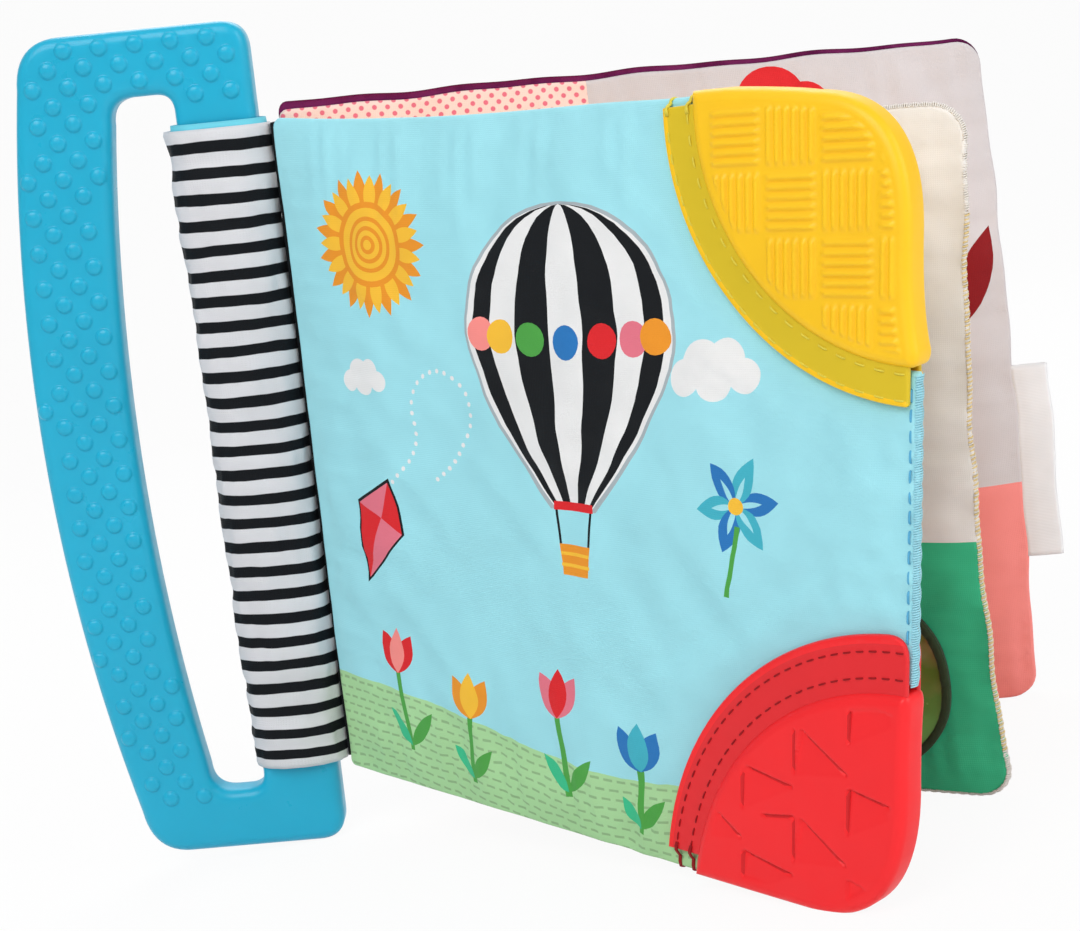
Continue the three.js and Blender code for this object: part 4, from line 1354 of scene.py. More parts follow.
class BOOK_OT_stage(bpy.types.Operator):
    """Build the floor, the lamps and the camera"""

    bl_idname = "book.stage"
    bl_label = "Stage"

    def execute(self, context):
        studio = settings().studio
        scene = context.scene
        scene.view_settings.view_transform = "Standard"
        self.floor(studio)
        self.lamps(scene, studio)
        self.camera(scene, studio)
        return {"FINISHED"}

    def floor(self, studio):
        """A floor that curves up into a backdrop, which the camera sees as nearly plain white."""
        half, near, far, bend, top = 3.0, -1.6, 1.1, 0.6, 2.4
        turns = [QUARTER * k / 12 for k in range(1, 13)]
        profile = [(near, 0.0), (0.0, 0.0), (far, 0.0)]
        profile += [(far + bend * math.sin(turn), bend * (1 - math.cos(turn))) for turn in turns]
        profile.append((far + bend, top))
        points = [(x, y, z) for y, z in profile for x in (-half, half)]
        faces = [(2 * k, 2 * k + 1, 2 * k + 3, 2 * k + 2) for k in range(len(profile) - 1)]
        shader = Shader("floor_paper", settings().colours.floor, 0.9)
        vector = shader.object_coordinates()
        shader.bump(shader.noise(vector, 1.5 * MM, 3), 0.02 * MM, 0.2)
        path = shader.node("ShaderNodeLightPath")
        seen = shader.math("MAXIMUM", path.outputs["Is Camera Ray"], path.outputs["Is Glossy Ray"])
        seen = shader.math("MAXIMUM", seen, path.outputs["Is Transmission Ray"])
        share = shader.math("MULTIPLY", seen, studio.backdrop)
        white = shader.node("ShaderNodeEmission")
        mix = shader.node("ShaderNodeMixShader")
        output = shader.tree.nodes["Material Output"]
        shader.link(share, mix.inputs[0])
        shader.link(shader.base.outputs[0], mix.inputs[1])
        shader.link(white.outputs[0], mix.inputs[2])
        shader.link(mix.outputs[0], output.inputs["Surface"])
        floor = make_piece("floor", points, faces, [shader.material])
        floor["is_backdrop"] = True

    def lamps(self, scene, studio):
        """Three soft lamps round the book, and an even white light from all round."""
        lamps = (
            ("key_lamp", studio.key, 0.9, (-0.35, -0.95, 1.05)),
            ("fill_lamp", studio.fill, 0.8, (0.95, -0.6, 0.55)),
            ("back_lamp", studio.back, 0.8, (0.1, 0.75, 0.95)),
        )
        aim = Vector((0, 0.02, 0.09))  # the middle of the book
        for name, watts, side, spot in lamps:
            data = bpy.data.lights.new(name, "AREA")
            data.energy = watts
            data.size = side
            lamp = bpy.data.objects.new(name, data)
            lamp.location = spot
            lamp.rotation_euler = (aim - Vector(spot)).to_track_quat("-Z", "Y").to_euler()
            scene.collection.objects.link(lamp)
        world = bpy.data.worlds.new("studio")
        world.use_nodes = True
        tree = world.node_tree
        background = tree.nodes["Background"]
        background.inputs["Strength"].default_value = studio.sky
        path = tree.nodes.new("ShaderNodeLightPath")
        plain = tree.nodes.new("ShaderNodeBackground")
        for light in (background, plain):
            light.inputs["Color"].default_value = (1, 1, 1, 1)
        mix = tree.nodes.new("ShaderNodeMixShader")
        tree.links.new(path.outputs["Is Camera Ray"], mix.inputs[0])
        tree.links.new(background.outputs[0], mix.inputs[1])
        tree.links.new(plain.outputs[0], mix.inputs[2])
        tree.links.new(mix.outputs[0], tree.nodes["World Output"].inputs["Surface"])
        scene.world = world

    def camera(self, scene, studio):
        data = bpy.data.cameras.new("photo_camera")
        data.sensor_width = 36
        data.lens = studio.lens
        data.clip_start = 0.02
        camera = bpy.data.objects.new("photo_camera", data)
        eye, target = Vector(studio.eye), Vector(studio.target)
        look = (target - eye).to_track_quat("-Z", "Y").to_matrix().to_4x4()
        camera.matrix_world = Matrix.Translation(eye) @ look @ Matrix.Rotation(studio.roll, 4, "Z")
        scene.collection.objects.link(camera)
        scene.camera = camera


# Pieces of a leaf

def leaf_outline(leaf, scallop):
    """A leaf's outline, from its gutter edge, with bites where its corner teethers sit."""
    sizes = settings().leaf
    left, corner = -sizes.seam_half, leaf.corner
    spacing, gutter_corner, dip_end, dip_reach = 0.6 * MM, 2 * MM, 60 * MM, 16 * MM
    edge_low, edge_high = corner, leaf.height - corner
    if leaf.grips:
        low, high = (grip.placed(grip.arc(grip.bite, 0, 0, 30)) for grip in leaf.grips)
        edge_low, edge_high = low[-1][1], high[0][1]
    else:
        low = arc((leaf.width - corner, corner), corner, -QUARTER, 0, 8)
        high = arc((leaf.width - corner, leaf.height - corner), corner, 0, QUARTER, 8)
    vs = np.arange(edge_low, edge_high, spacing)[1:]
    bulge = scallop * (np.abs(np.sin(np.pi * (vs - edge_low) / settings().stitch.front_bead)) - 0.2)
    side = np.column_stack([leaf.width + bulge, vs])
    near = left + gutter_corner
    foot = arc((near, gutter_corner), gutter_corner, 2 * QUARTER, 3 * QUARTER, 4)
    head = arc((near, leaf.height - gutter_corner), gutter_corner, QUARTER, 2 * QUARTER, 4)
    us = np.linspace(high[-1][0], dip_end, 30)
    dip = sizes.cover_dip * np.exp(-((us - high[-1][0]) / dip_reach) ** 2) if leaf.grips else 0 * us
    top = np.column_stack([us, leaf.height - dip])
    return joined(low, side, high[:-1], top, head, foot)


def panel(name, leaf, body, side, shapes, tones, base, slot, pad, scallop=0.0, proud=0.0):
    """One cloth face of a leaf, as a thin closed shell that ends in the leaf's seams. Its prints lie on the base."""
    sizes = settings().leaf
    least, ply, hem = 0.03 * MM, 0.5 * MM, 6 * MM
    sheet = FlatSheet([leaf_outline(leaf, scallop)], sizes.seam_half, sizes.mesh_spacing, shapes=shapes)
    rise = np.maximum(leaf.face(sheet.points, side) + sheet.profile(), least)
    near_top = np.clip(1 - (leaf.height - sheet.points[:, 1]) / hem, 0, 1)
    under = np.maximum(rise - ply, 0.4 * rise) - 0.01 * MM
    u, v = sheet.points.T
    v = v + proud * near_top * (1 - 0.55 * u / leaf.width)
    points = np.vstack([leaf.world(u, v, side * rise), leaf.world(u, v, side * under)])
    faces = shell_faces(sheet)
    if side < 0:
        faces = [tuple(reversed(f)) for f in faces]
    names = [base] + sorted({tone for tone, _ in shapes} - {base})
    lookup = np.array([0] + [names.index(tone) for tone, _ in shapes])
    paint = shell_paint(lookup[sheet.paint], faces)
    flat = doubled(sheet.points)
    rows = np.column_stack([flat[:, 0], flat[:, 1] - hill_top(flat[:, 0])])
    piece = make_piece(name + "_cloth", points, faces, [tones[tone] for tone in names], paint, flat, rows)
    settle(piece, body, slot, name)


def filling_outline(leaf, inset):
    """A filling's outline, clear of the leaf's seams and of its corner teethers' flanges."""
    if not leaf.grips:
        return rounded_rectangle(inset, inset, leaf.width - inset, leaf.height - inset, leaf.corner)
    bites = (grip.placed(grip.arc(grip.clear + inset * 0.6, inset, inset, 20)) for grip in leaf.grips)
    return joined(*bites, [[inset, leaf.height - inset], [inset, inset]])


def filling(leaf, body, pad_name, film_name, materials):
    """The padding and the crinkle film behind it."""
    inset, edge, spacing = 12 * MM, 0.8 * MM, 4 * MM
    under_cloth, least, film_room, film_thickness = 1.2 * MM, 0.1 * MM, 0.65 * MM, 0.2 * MM
    sheet = FlatSheet([filling_outline(leaf, inset)], edge, spacing)
    u, v = sheet.points.T
    upper = np.maximum(leaf.face(sheet.points, 1) - under_cloth + sheet.profile(), least)
    crown = leaf.face(sheet.points, -1)
    lower = np.minimum(under_cloth + film_room - crown - sheet.profile(), -least)
    faces = shell_faces(sheet)
    points = np.vstack([leaf.world(u, v, upper), leaf.world(u, v, lower)])
    pad = make_piece(pad_name + "_fibre", points, faces, [materials[0]], cloth=doubled(sheet.points))
    settle(pad, body, "padding_fill", pad_name)
    crease = 0.06 * MM * gathers(u / (9 * MM) + v / (13 * MM))
    base = under_cloth - crown
    points = np.vstack([leaf.world(u, v, base + film_thickness + crease), leaf.world(u, v, base + crease)])
    film = make_piece(film_name + "_layer", points, faces, [materials[1]], cloth=doubled(sheet.points))
    settle(film, body, "crinkle_film", film_name)


def thick_grid(grid, thickness, coordinates=None):
    """A closed strip from a grid of points, thickened to both sides."""
    grid = np.asarray(grid, float)
    rows, columns = grid.shape[:2]
    du, dv = np.gradient(grid, axis=1), np.gradient(grid, axis=0)
    normal = np.cross(du, dv)
    normal /= np.maximum(np.linalg.norm(normal, axis=2), 1e-12)[..., None]
    if np.isscalar(thickness):
        thickness = np.full((rows, columns), thickness)
    half = (thickness / 2)[..., None] * normal
    points = np.vstack([(grid + half).reshape(-1, 3), (grid - half).reshape(-1, 3)])
    n = rows * columns
    faces = []
    for j in range(rows - 1):
        for i in range(columns - 1):
            a, b = j * columns + i, (j + 1) * columns + i
            faces += [(a, a + 1, b + 1, b), (a + n, b + n, b + 1 + n, a + 1 + n)]
    rim = list(range(columns - 1))
    rim += [j * columns + columns - 1 for j in range(rows - 1)]
    rim += [(rows - 1) * columns + i for i in range(columns - 1, 0, -1)]
    rim += [j * columns for j in range(rows - 1, 0, -1)]
    faces += [(a, a + n, b + n, b) for a, b in zip(rim, rim[1:] + rim[:1])]
    if coordinates is None:
        coordinates = np.stack(np.meshgrid(np.arange(columns), np.arange(rows)), axis=-1) * MM
    flat = np.asarray(coordinates, float).reshape(-1, 2)
    return points, faces, doubled(flat)


class BOOK_OT_front_cover(bpy.types.Operator):
    """Build the front cover's two cloth faces"""

    bl_idname = "book.front_cover"
    bl_label = "Front cover"

    def execute(self, context):
        leaf, tones = leaves()["front"], print_tones()
        gather = settings().pucker.scallop
        panel("front_outer_panel", leaf, "front_cover", 1, front_print(leaf), tones, "sky", "sky_cloth",
              "front_padding", gather)
        panel("front_inner_panel", leaf, "front_cover", -1, front_inner_print(leaf), tones, "sun",
              "sun_cloth", "front_padding", gather)
        return {"FINISHED"}


class BOOK_OT_page(bpy.types.Operator):
    """Build the page's two cloth faces"""

    bl_idname = "book.page"
    bl_label = "Page"

    def execute(self, context):
        leaf, tones = leaves()["page"], print_tones()
        gather = settings().pucker.scallop
        panel("page_front_panel", leaf, "page", 1, page_front_print(leaf), tones, "cream", "cream_cloth",
              "page_padding", gather)
        panel("page_back_panel", leaf, "page", -1, page_back_print(), tones, "gingham", "sun_cloth",
              "page_padding", gather)
        return {"FINISHED"}


class BOOK_OT_back_cover(bpy.types.Operator):
    """Build the back cover's two cloth faces"""

    bl_idname = "book.back_cover"
    bl_label = "Back cover"

    def execute(self, context):
        leaf, tones = leaves()["back"], print_tones()
        panel("back_inner_panel", leaf, "back_cover", 1, back_inner_print(leaf), tones, "blush",
              "white_cloth", "back_padding")
        panel("back_outer_panel", leaf, "back_cover", -1, [], tones, "plum", "purple_cloth",
              "back_padding", proud=1.8 * MM)
        return {"FINISHED"}


class BOOK_OT_fillings(bpy.types.Operator):
    """Build the padding and the crinkle film inside each leaf"""

    bl_idname = "book.fillings"
    bl_label = "Paddings and films"

    def execute(self, context):
        c = settings().colours
        materials = [fibre_material("padding_fibre", c.padding), film_material("crinkle_film", c.film)]
        for name, body in (("front", "front_cover"), ("page", "page"), ("back", "back_cover")):
            filling(leaves()[name], body, name + "_padding", name + "_crinkle_film", materials)
        return {"FINISHED"}


# The handle

def d_loop(right, side, top, bottom, bar, grip, top_bulge, bottom_bulge, share=0.0):
    """A loop with a straight side at the bar and a bowed side at the grip. bar and grip are its corners' radii."""
    top_x, bottom_x = side + top_bulge, side + bottom_bulge
    bow = (2 * side - (top_x + bottom_x) / 2, (top + bottom) / 2)
    return joined(
        [(right, bottom + bar), (right, top - bar)],
        curve((right, top - bar), (right, top), (right - bar, top)),
        [(top_x + grip, top)],
        curve((top_x + grip, top), (top_x + top_bulge * share, top), (top_x, top - grip)),
        curve((top_x, top - grip), bow, (bottom_x, bottom + grip), 48),
        curve((bottom_x, bottom + grip), (bottom_x + bottom_bulge * share, bottom), (bottom_x + grip, bottom)),
        [(right - bar, bottom)],
        curve((right - bar, bottom), (right, bottom), (right, bottom + bar)),
    )


def handle_loops(sizes, height):
    """The handle's outline and its hole, from the bar's axis and the covers' bottom edge."""
    right = sizes.bar_width / 2
    hole_side = -right - sizes.grip_gap
    top, bottom = height + sizes.top_reach, -sizes.bottom_reach
    outer = d_loop(right, hole_side - sizes.grip_width, top, bottom, sizes.bar_corner, sizes.grip_corner,
                   sizes.grip_top_bulge, sizes.grip_bottom_bulge, sizes.end_bulge_share)
    hole = d_loop(-right, hole_side, top - sizes.top_wall, bottom + sizes.bottom_wall, sizes.hole_bar_corner,
                  sizes.hole_grip_corner, sizes.hole_top_bulge, sizes.hole_bottom_bulge)
    return [outer, hole[::-1]]


class BOOK_OT_handle(bpy.types.Operator):
    """Build the moulded handle with its raised dots"""

    bl_idname = "book.handle"
    bl_label = "Handle"

    spacing = 1.8 * MM
    ring_shares = (1.14, 1.0, 0.92, 0.7)  # rings of points that draw a dot's round flank

    def execute(self, context):
        sizes, height = settings().handle, settings().leaf.cover_height
        loops = handle_loops(sizes, height)
        dots = self.dots(sizes, height, loops)
        rings = [circle(dot, sizes.dot_radius * share, 16) for dot in dots for share in self.ring_shares]
        sheet = FlatSheet(loops, sizes.edge, self.spacing, features=rings)
        slope = 3 * MM

        def relief(points):
            x, z = points.T
            covered = np.clip(np.minimum(z - slope, height - slope - z) / slope, 0, 1)
            rise = -sizes.sleeve_room * covered * (x > -sizes.bar_width)
            for dot in dots:
                away = np.linalg.norm(points - dot, axis=1) / sizes.dot_radius
                near = away < 1
                rise[near] += sizes.dot_height * (1 - away[near] ** 6) ** 0.8 * (1.1 - 0.2 * away[near] ** 2)
            return rise

        points, faces = slab(sheet, sizes.thickness / 2, relief)
        x, z, w = points.T
        material = silicone_material("handle_silicone", settings().colours.handle, 0.32, 0.25, 0.08)
        piece = make_piece("teether_handle_moulding", Spine().world(x, -w, z), faces, [material],
                           cloth=doubled(sheet.points))
        settle(piece, "handle", "blue_silicone", "teether_handle")
        return {"FINISHED"}

    def dots(self, sizes, height, loops):
        """Dots in staggered rows that keep clear of the edges and of the sleeve."""
        pitch = sizes.dot_pitch
        start = np.array([sizes.dot_shift_x, sizes.dot_shift_z])
        spots = np.array([start + (np.array([i, k]) + half) * pitch
                          for half in (0, 0.5) for i in range(-3, 12) for k in range(-22, 8)])
        spots = spots[inside(spots, loops[0]) & ~inside(spots, loops[1])]
        spots = spots[edge_distance(spots, loops) > sizes.dot_margin]
        lowest, sleeve_end, sleeve_top = -8 * MM, -6 * MM, height + 5 * MM
        x, z = spots.T
        under_sleeve = (x > -sizes.bar_width) & (z > sleeve_end) & (z < sleeve_top)
        return spots[~under_sleeve & (z > lowest)]


# The sleeve and what is sewn to it

def flat_tube(name, levels, widths, thicknesses, ring_steps, power, wall, material, wave):
    """A closed flattened tube with a turned hem at both mouths. wave gives its folds at angle and level."""
    spine = Spine()
    turns = np.linspace(0, 2 * np.pi, ring_steps + 1)[:-1]
    c, s = np.cos(turns + np.pi), np.sin(turns + np.pi)
    across, behind = (np.sign(t) * np.abs(t) ** (2 / power) for t in (c, s))
    rings, flats = [], []

    def ring(k, inner):
        level, (left, right), thickness = levels[k], widths[k], thicknesses[k]
        x, y = (right - inner) * across, (thickness - inner) * behind
        x = np.where(x < 0, x * (left - inner) / (right - inner), x)
        grown = 1 + np.broadcast_to(wave(turns, level), x.shape) / np.hypot(x, y)
        rings.append(spine.world(x * grown, y * grown, np.full(ring_steps, level)))
        flats.append(np.column_stack([turns * (right + thickness) / 2, np.full(ring_steps, level)]))

    for k in range(len(levels)):
        ring(k, 0.0)
    for k in reversed(range(len(levels))):
        ring(k, wall)
    n, m = len(rings), ring_steps
    faces = [(j * m + i, j * m + (i + 1) % m, (j + 1) % n * m + (i + 1) % m, (j + 1) % n * m + i)
             for j in range(n) for i in range(m)]
    return make_piece(name, np.vstack(rings), faces, [material], cloth=np.vstack(flats))


class BOOK_OT_sleeve(bpy.types.Operator):
    """Build the striped sleeve, its lining, the gutter tape and the binding"""

    bl_idname = "book.sleeve"
    bl_label = "Sleeve"

    # Pinched folds of the slack cloth: height, share of the fold's depth, and half width
    pinches = ((7.5, 0.8, 1.2), (13.5, 1.0, 1.5), (22, 0.5, 1.7), (46, 0.3, 2),
               (74, 0.4, 2), (109, 0.4, 2), (133, 0.35, 2), (147, 0.7, 1.7))
    deepest = 0.42 * MM
    taper_power = 0.8
    flare_share = 0.035
    sleeve_power, lining_power = 2.35, 3.0  # how square the flattened tubes are
    walked = 0.87  # length round the sleeve's section, as a share of its box

    def execute(self, context):
        sizes, height = settings().sleeve, settings().leaf.cover_height
        bottom, top = sizes.inset, height - 0.8 * MM
        around = 4 * (sizes.half_width + sizes.half_thickness) * self.walked
        self.sleeve(sizes, height, bottom, top, around)
        self.lining(sizes, bottom, top, around)
        self.tapes(height)
        return {"FINISHED"}

    def sleeve(self, sizes, height, bottom, top, around):
        """The striped cloth, tapered and flared on its handle side, with folds and tucked hems."""
        step = (height - 2 * sizes.inset) / sizes.stripes
        levels = np.linspace(bottom, top, sizes.stripes * 6 + 1)
        hem = np.clip(np.minimum(levels - bottom, top - levels) / (1.2 * MM), 0, 1)
        tuck = (1 - np.sqrt(1 - (1 - hem) ** 2)) * 0.35 * MM
        share = (levels - bottom) / (top - bottom)
        left = (sizes.half_width - sizes.taper * (1 - share) ** self.taper_power
                + sizes.flare * np.exp((share - 1) / self.flare_share))
        widths = np.column_stack([left, np.full_like(left, sizes.half_width)]) - tuck[:, None]

        def swirl(t, radius, level, rise):
            return noise.noise(Vector((radius * math.cos(t), radius * math.sin(t), level / rise)))

        def folds(turns, level):
            puff = sizes.ripple * np.cos(2 * np.pi * (level - bottom) / step)
            slack = np.array([swirl(t, 1.6, level, 15 * MM) + 0.6 * swirl(t, 4, level, 6 * MM)
                              for t in turns]) * sizes.fold
            pinch = 0.0
            for k, (centre, depth, width) in enumerate(self.pinches):
                slant = 0.7 * MM * np.sin(turns * (1 + k % 2) + 1.7 * k)
                pinch = pinch - depth * sizes.fold * np.exp(-((level + slant - centre * MM) / (width * MM)) ** 2)
            return np.maximum(puff * 0.6 + slack * 0.8 + pinch, -self.deepest)

        cloth = stripe_material("striped_cloth", linear("DADADE"), settings().colours.black)
        piece = flat_tube("spine_sleeve_cloth", levels, widths, sizes.half_thickness - tuck, 84, self.sleeve_power,
                          sizes.cloth * 0.8, cloth, folds)
        settle(piece, "spine", "sleeve_cloth", "spine_sleeve")

    def lining(self, sizes, bottom, top, around):
        """The plain cloth inside the sleeve, which stands out of both mouths."""
        inner = sizes.lining_gap
        levels = np.linspace(bottom - 0.3 * MM, top + sizes.lining_reach * 0.8, 90)
        hem = np.clip(np.minimum(levels - levels[0], levels[-1] - levels) / (0.8 * MM), 0, 1)
        curl = (1 - hem) * 0.15 * MM
        right = sizes.half_width - inner - curl
        left = right - sizes.taper * (1 - np.clip((levels - bottom) / (top - bottom), 0, 1)) ** self.taper_power
        piece = flat_tube(
            "sleeve_lining_cloth", levels, np.column_stack([left, right]), sizes.half_thickness - inner - curl,
            60, self.lining_power, 0.45 * MM, cloth_material("lining_cloth", linear("6ED0E4")),
            lambda turns, level: 0.12 * MM * np.sin(7 * turns + level / (5 * MM)))
        settle(piece, "spine", "sky_cloth", "sleeve_lining")

    def tapes(self, height):
        """The tape along the gutter with the rib that carries the page, and the binding behind."""
        black = cloth_material("black_tape", settings().colours.black, 0.75)
        spine = Spine()
        zs = np.linspace(2 * MM, height - 1 * MM, 60)

        def strip(a, b, thickness, zs, steps=7):
            a, b = np.array(a) * MM, np.array(b) * MM
            tt, zz = np.meshgrid(np.linspace(0, 1, steps), zs)
            ripple = 0.08 * MM * gathers(zz / (11 * MM) + tt)
            width = np.hypot(*(b - a))
            normal = np.array([b[1] - a[1], a[0] - b[0]]) / width
            x, y = (a[k] + (b[k] - a[k]) * tt + ripple * normal[k] for k in (0, 1))
            return thick_grid(spine.world(x, y, zz), thickness * MM, np.stack([tt * width, zz], axis=-1))

        tape = Bundle()
        flats = []
        for a, b, thickness in (((12.35, 3.8), (12.35, -2.4), 0.7), ((12.9, 0), (15.85, 0), 0.9)):
            points, faces, flat = strip(a, b, thickness, zs)
            tape.add(points, faces)
            flats.append(flat)
        piece = make_piece("gutter_tape_strip", tape.all_points(), tape.faces, [black], cloth=np.vstack(flats))
        settle(piece, "spine", "black_tape", "gutter_tape")

        zs = np.linspace(1 * MM, height + 1.6 * MM, 60)
        points, faces, flat = strip((6.5, 7.65), (-6.5, 7.65), 0.6, zs, 11)
        piece = make_piece("spine_binding_strip", points, faces, [black], cloth=flat)
        settle(piece, "spine", "black_tape", "spine_binding")


# The corner teethers

def grip_outline(grip):
    """A corner teether's grip: an arc, a long edge that falls to a wide corner, and a flared end."""
    right, top = grip.width + grip.overhang, grip.height - grip.recess
    inner = grip.arc(grip.radius, 1.2 * MM, grip.recess)
    low = inner[0][1]
    corner = (right - grip.corner_u, top - grip.fall * 0.85)
    turn_end = (right, top - grip.corner_v)
    flared = (right + grip.flare, low + 2.8 * MM)
    outline = joined(
        inner,
        curve(inner[-1], (corner[0] - 6 * MM, top - grip.fall * 0.4), corner, 10),
        curve(corner, (right, top - grip.fall * 1.3), turn_end, 24),
        curve(turn_end, (right - 0.3 * MM, low + 10 * MM), flared, 14),
        curve(flared, (right + grip.flare * 1.15, low + 0.1 * MM), tuple(inner[0]), 8),
    )
    return grip.placed(outline[::-1])


def flange_outline(grip, inner):
    """The sewing flange round a grip: a sector of a ring, short of the leaf's edges, with one round corner."""
    outside = grip.arc(grip.outer, grip.end + grip.round, grip.foot, 46)
    inside_arc = grip.arc(inner, grip.end, grip.foot, 40)
    bend = grip.arc(grip.outer, grip.end, grip.foot, 1)[0]
    rounded = curve(bend + (0, grip.round), bend, tuple(outside[0]), 8)
    outline = joined(rounded, outside, inside_arc[::-1])
    return grip.placed(outline[::-1])


FIRST_BLOCKS = (3, 2, 1, 1, 99)  # the weave's first block in each row, from the lowest up


def weave_relief(points, sizes, start):
    """Blocks of parallel ridges whose direction changes from block to block."""
    half, slope, flank = sizes.ridge_pitch * 6.3 / 2, 1.2 * MM, 0.3 * MM
    p = (points - start) / sizes.cell
    cell = np.floor(p)
    first = np.choose(np.clip(cell[:, 1], 0, 4).astype(int), FIRST_BLOCKS)
    inside_cell = (p - cell - 0.5) * sizes.cell
    across = (cell.sum(1) % 2) == 0
    a = np.where(across, inside_cell[:, 1], inside_cell[:, 0])
    b = np.where(across, inside_cell[:, 0], inside_cell[:, 1])
    ridges = 0.5 + 0.5 * np.cos(2 * np.pi * (a / sizes.ridge_pitch + 0.5))
    ridges = np.clip(ridges * 1.25, 0, 1)
    ends = np.clip((half - np.abs(b)) / slope, 0, 1) * ((cell[:, 0] >= first) & (cell[:, 1] >= 0))
    sides = np.clip((3 * sizes.ridge_pitch - np.abs(a)) / flank, 0, 1)
    return sizes.ridge_height * ridges * ends * sides


def facets(sizes, start):
    """Columns of triangles that point away from the gutter: (corners, the creases at their upper inner sides)."""
    column, row, side = sizes.facet_column, sizes.facet_row, sizes.facet_side
    for i in range(-1, 5):
        odd = i % 2
        fall = side * (0.8 if odd else 0.25)
        for k in range(-1, 4):
            top = np.array([start[0] + i * column, start[1] + (k + odd * 0.545) * row])
            corners = np.array([top + (odd * 0.12 * column, 0), top - (0, side), top + (column, -fall)])
            creases = [(top, corners[1]), (corners[0], corners[2])]
            if odd:
                creases.append((top - (0.62 * column, 0.14 * side), top))
            yield corners, creases


def facet_creases(sizes, start, loops):
    """The facets' creases, cut short at the grip's plain border."""
    from_border, shortest = sizes.border + 0.5 * MM, 4 * MM
    kept = []
    for _, creases in facets(sizes, start):
        for a, b in creases:
            line = a + (b - a) * np.linspace(0.04, 0.96, 60)[:, None]
            line = line[inside(line, loops[0]) & (edge_distance(line, loops) > from_border)]
            if len(line) > 1 and np.linalg.norm(line[-1] - line[0]) > shortest:
                kept.append((line[0], line[-1]))
    return kept


def needle(a, b, half):
    """A thin outline round a line, with pointed ends."""
    along = b - a
    across = np.array([-along[1], along[0]]) / np.linalg.norm(along) * half
    return np.array([a, a + 0.12 * along + across, a + 0.85 * along + across, b,
                     a + 0.85 * along - across, a + 0.12 * along - across])


def facet_relief(points, sizes, start, creases):
    """Sunk triangles, deepest where their creases meet, and a groove along each crease."""
    depth = np.zeros(len(points))
    for corners, _ in facets(sizes, start):
        shares = triangle_shares(points, corners)
        depth = np.where((shares > 0).all(1), np.maximum(depth, np.abs(shares[:, 0]) ** 0.8), depth)
    crease = np.full(len(points), np.inf)
    for a, b in creases:
        np.minimum(crease, segment_distance(points, a, b), out=crease)
    return -sizes.facet_height * (depth + 0.9 * np.clip(1 - crease / sizes.crease_half, 0, 1))


def triangle_shares(points, corners):
    """How much of each corner is in each point."""
    a, b, c = corners
    matrix = np.array([b - a, c - a]).T
    bc = np.linalg.solve(matrix, (points - a).T).T
    return np.column_stack([1 - bc.sum(1), bc])


class BOOK_OT_corner_teethers(bpy.types.Operator):
    """Build the two silicone corner teethers with their sewing flanges"""

    bl_idname = "book.corner_teethers"
    bl_label = "Corner teethers"

    def execute(self, context):
        leaf, sizes, c = leaves()["front"], settings().teether, settings().colours
        red, yellow = leaf.grips
        weave_start, facet_start = np.array([106.7, 102.8]) * MM, np.array([124.5, 8.6]) * MM
        self.teether(leaf, yellow, "yellow_silicone", (c.yellow_teether, c.yellow_flange),
                     lambda p: weave_relief(p, sizes, weave_start), sizes)
        creases = facet_creases(sizes, facet_start, [grip_outline(red)])
        self.teether(leaf, red, "red_silicone", (c.red_teether, c.red_flange),
                     lambda p: facet_relief(p, sizes, facet_start, creases), sizes, creases)
        return {"FINISHED"}

    def teether(self, leaf, grip, slot, tints, relief, sizes, creases=()):
        """A grip with its relief, its creases painted darker as shade, and the two plies of its flange with their
        bright rims.
        """
        fade, tucked, flange_edge, spacing = 0.8 * MM, 1.5 * MM, 0.45 * MM, 0.9 * MM
        # Thin outlines along the creases, which take the darker crease material: painted shade
        shaded_grooves = [("crease", needle(a, b, sizes.crease_half)) for a, b in creases]
        body = FlatSheet([grip_outline(grip)], sizes.edge, sizes.mesh_spacing, [np.array(c) for c in creases], shaded_grooves)

        def bordered(points):
            gap = edge_distance(points, body.loops)
            return relief(points) * np.clip((gap - sizes.border) / fade, 0, 1)

        bundle = Bundle()
        points, faces = slab(body, sizes.thickness / 2, bordered)
        bundle.add(points, faces, shell_paint(np.where(body.paint > 0, 3, 0), faces))  # 3 in the creases: painted shade
        flats = [doubled(body.points)]
        border = grip.outer - sizes.rim
        drift = (0, grip.side * (grip.centre(border) - grip.middle)[1])
        short = 0.3 * MM
        seam = grip.placed(grip.arc(border, grip.end + short, grip.foot + short, 60)[::-1])
        flange = FlatSheet([flange_outline(grip, grip.radius - tucked)], flange_edge, spacing, features=[seam])
        half = sizes.flange_ply / 2
        away = grip.outer - grip.away(*flange.points.T)
        bead = 0.35 * MM * np.exp(-((away - 0.5 * MM) / (0.45 * MM)) ** 2)
        on_rim = grip.away(*(flange.points[flange.faces].mean(1) - drift).T) > border
        faces = shell_faces(flange)
        paint = np.maximum(shell_paint(np.where(on_rim, 2, 1), faces), 1)  # the walls like the flange
        rise = half + flange.profile()
        for face in (1, -1):
            middle = face * (sizes.flange_half - half)
            low, high = sorted((0, face))
            points = np.vstack([np.column_stack([flange.points, middle + rise + high * bead]),
                                np.column_stack([flange.points, middle - rise + low * bead])])
            bundle.add(points, faces, paint)
            flats.append(doubled(flange.points))
        u, v, w = bundle.all_points().T
        name = grip.name
        # The fourth material, for the creases, is the grip's own colour dimmed: painted shade
        materials = [silicone_material(name + "_silicone", tints[0], 0.44, 0.1, 0.05),
                     silicone_material(name + "_flange_silicone", tints[1], 0.46, 0.05),
                     silicone_material(name + "_rim_silicone", tints[0], 0.42, 0.1, 0.05),
                     silicone_material(name + "_crease_silicone", dimmed(tints[0], 0.74), 0.5, 0.1)]
        piece = make_piece(name + "_corner_grip", leaf.world(u, v, w), bundle.faces, materials, bundle.paint,
                           cloth=np.vstack(flats))
        settle(piece, "front_cover", slot, name + "_corner_teether")


# Stitches

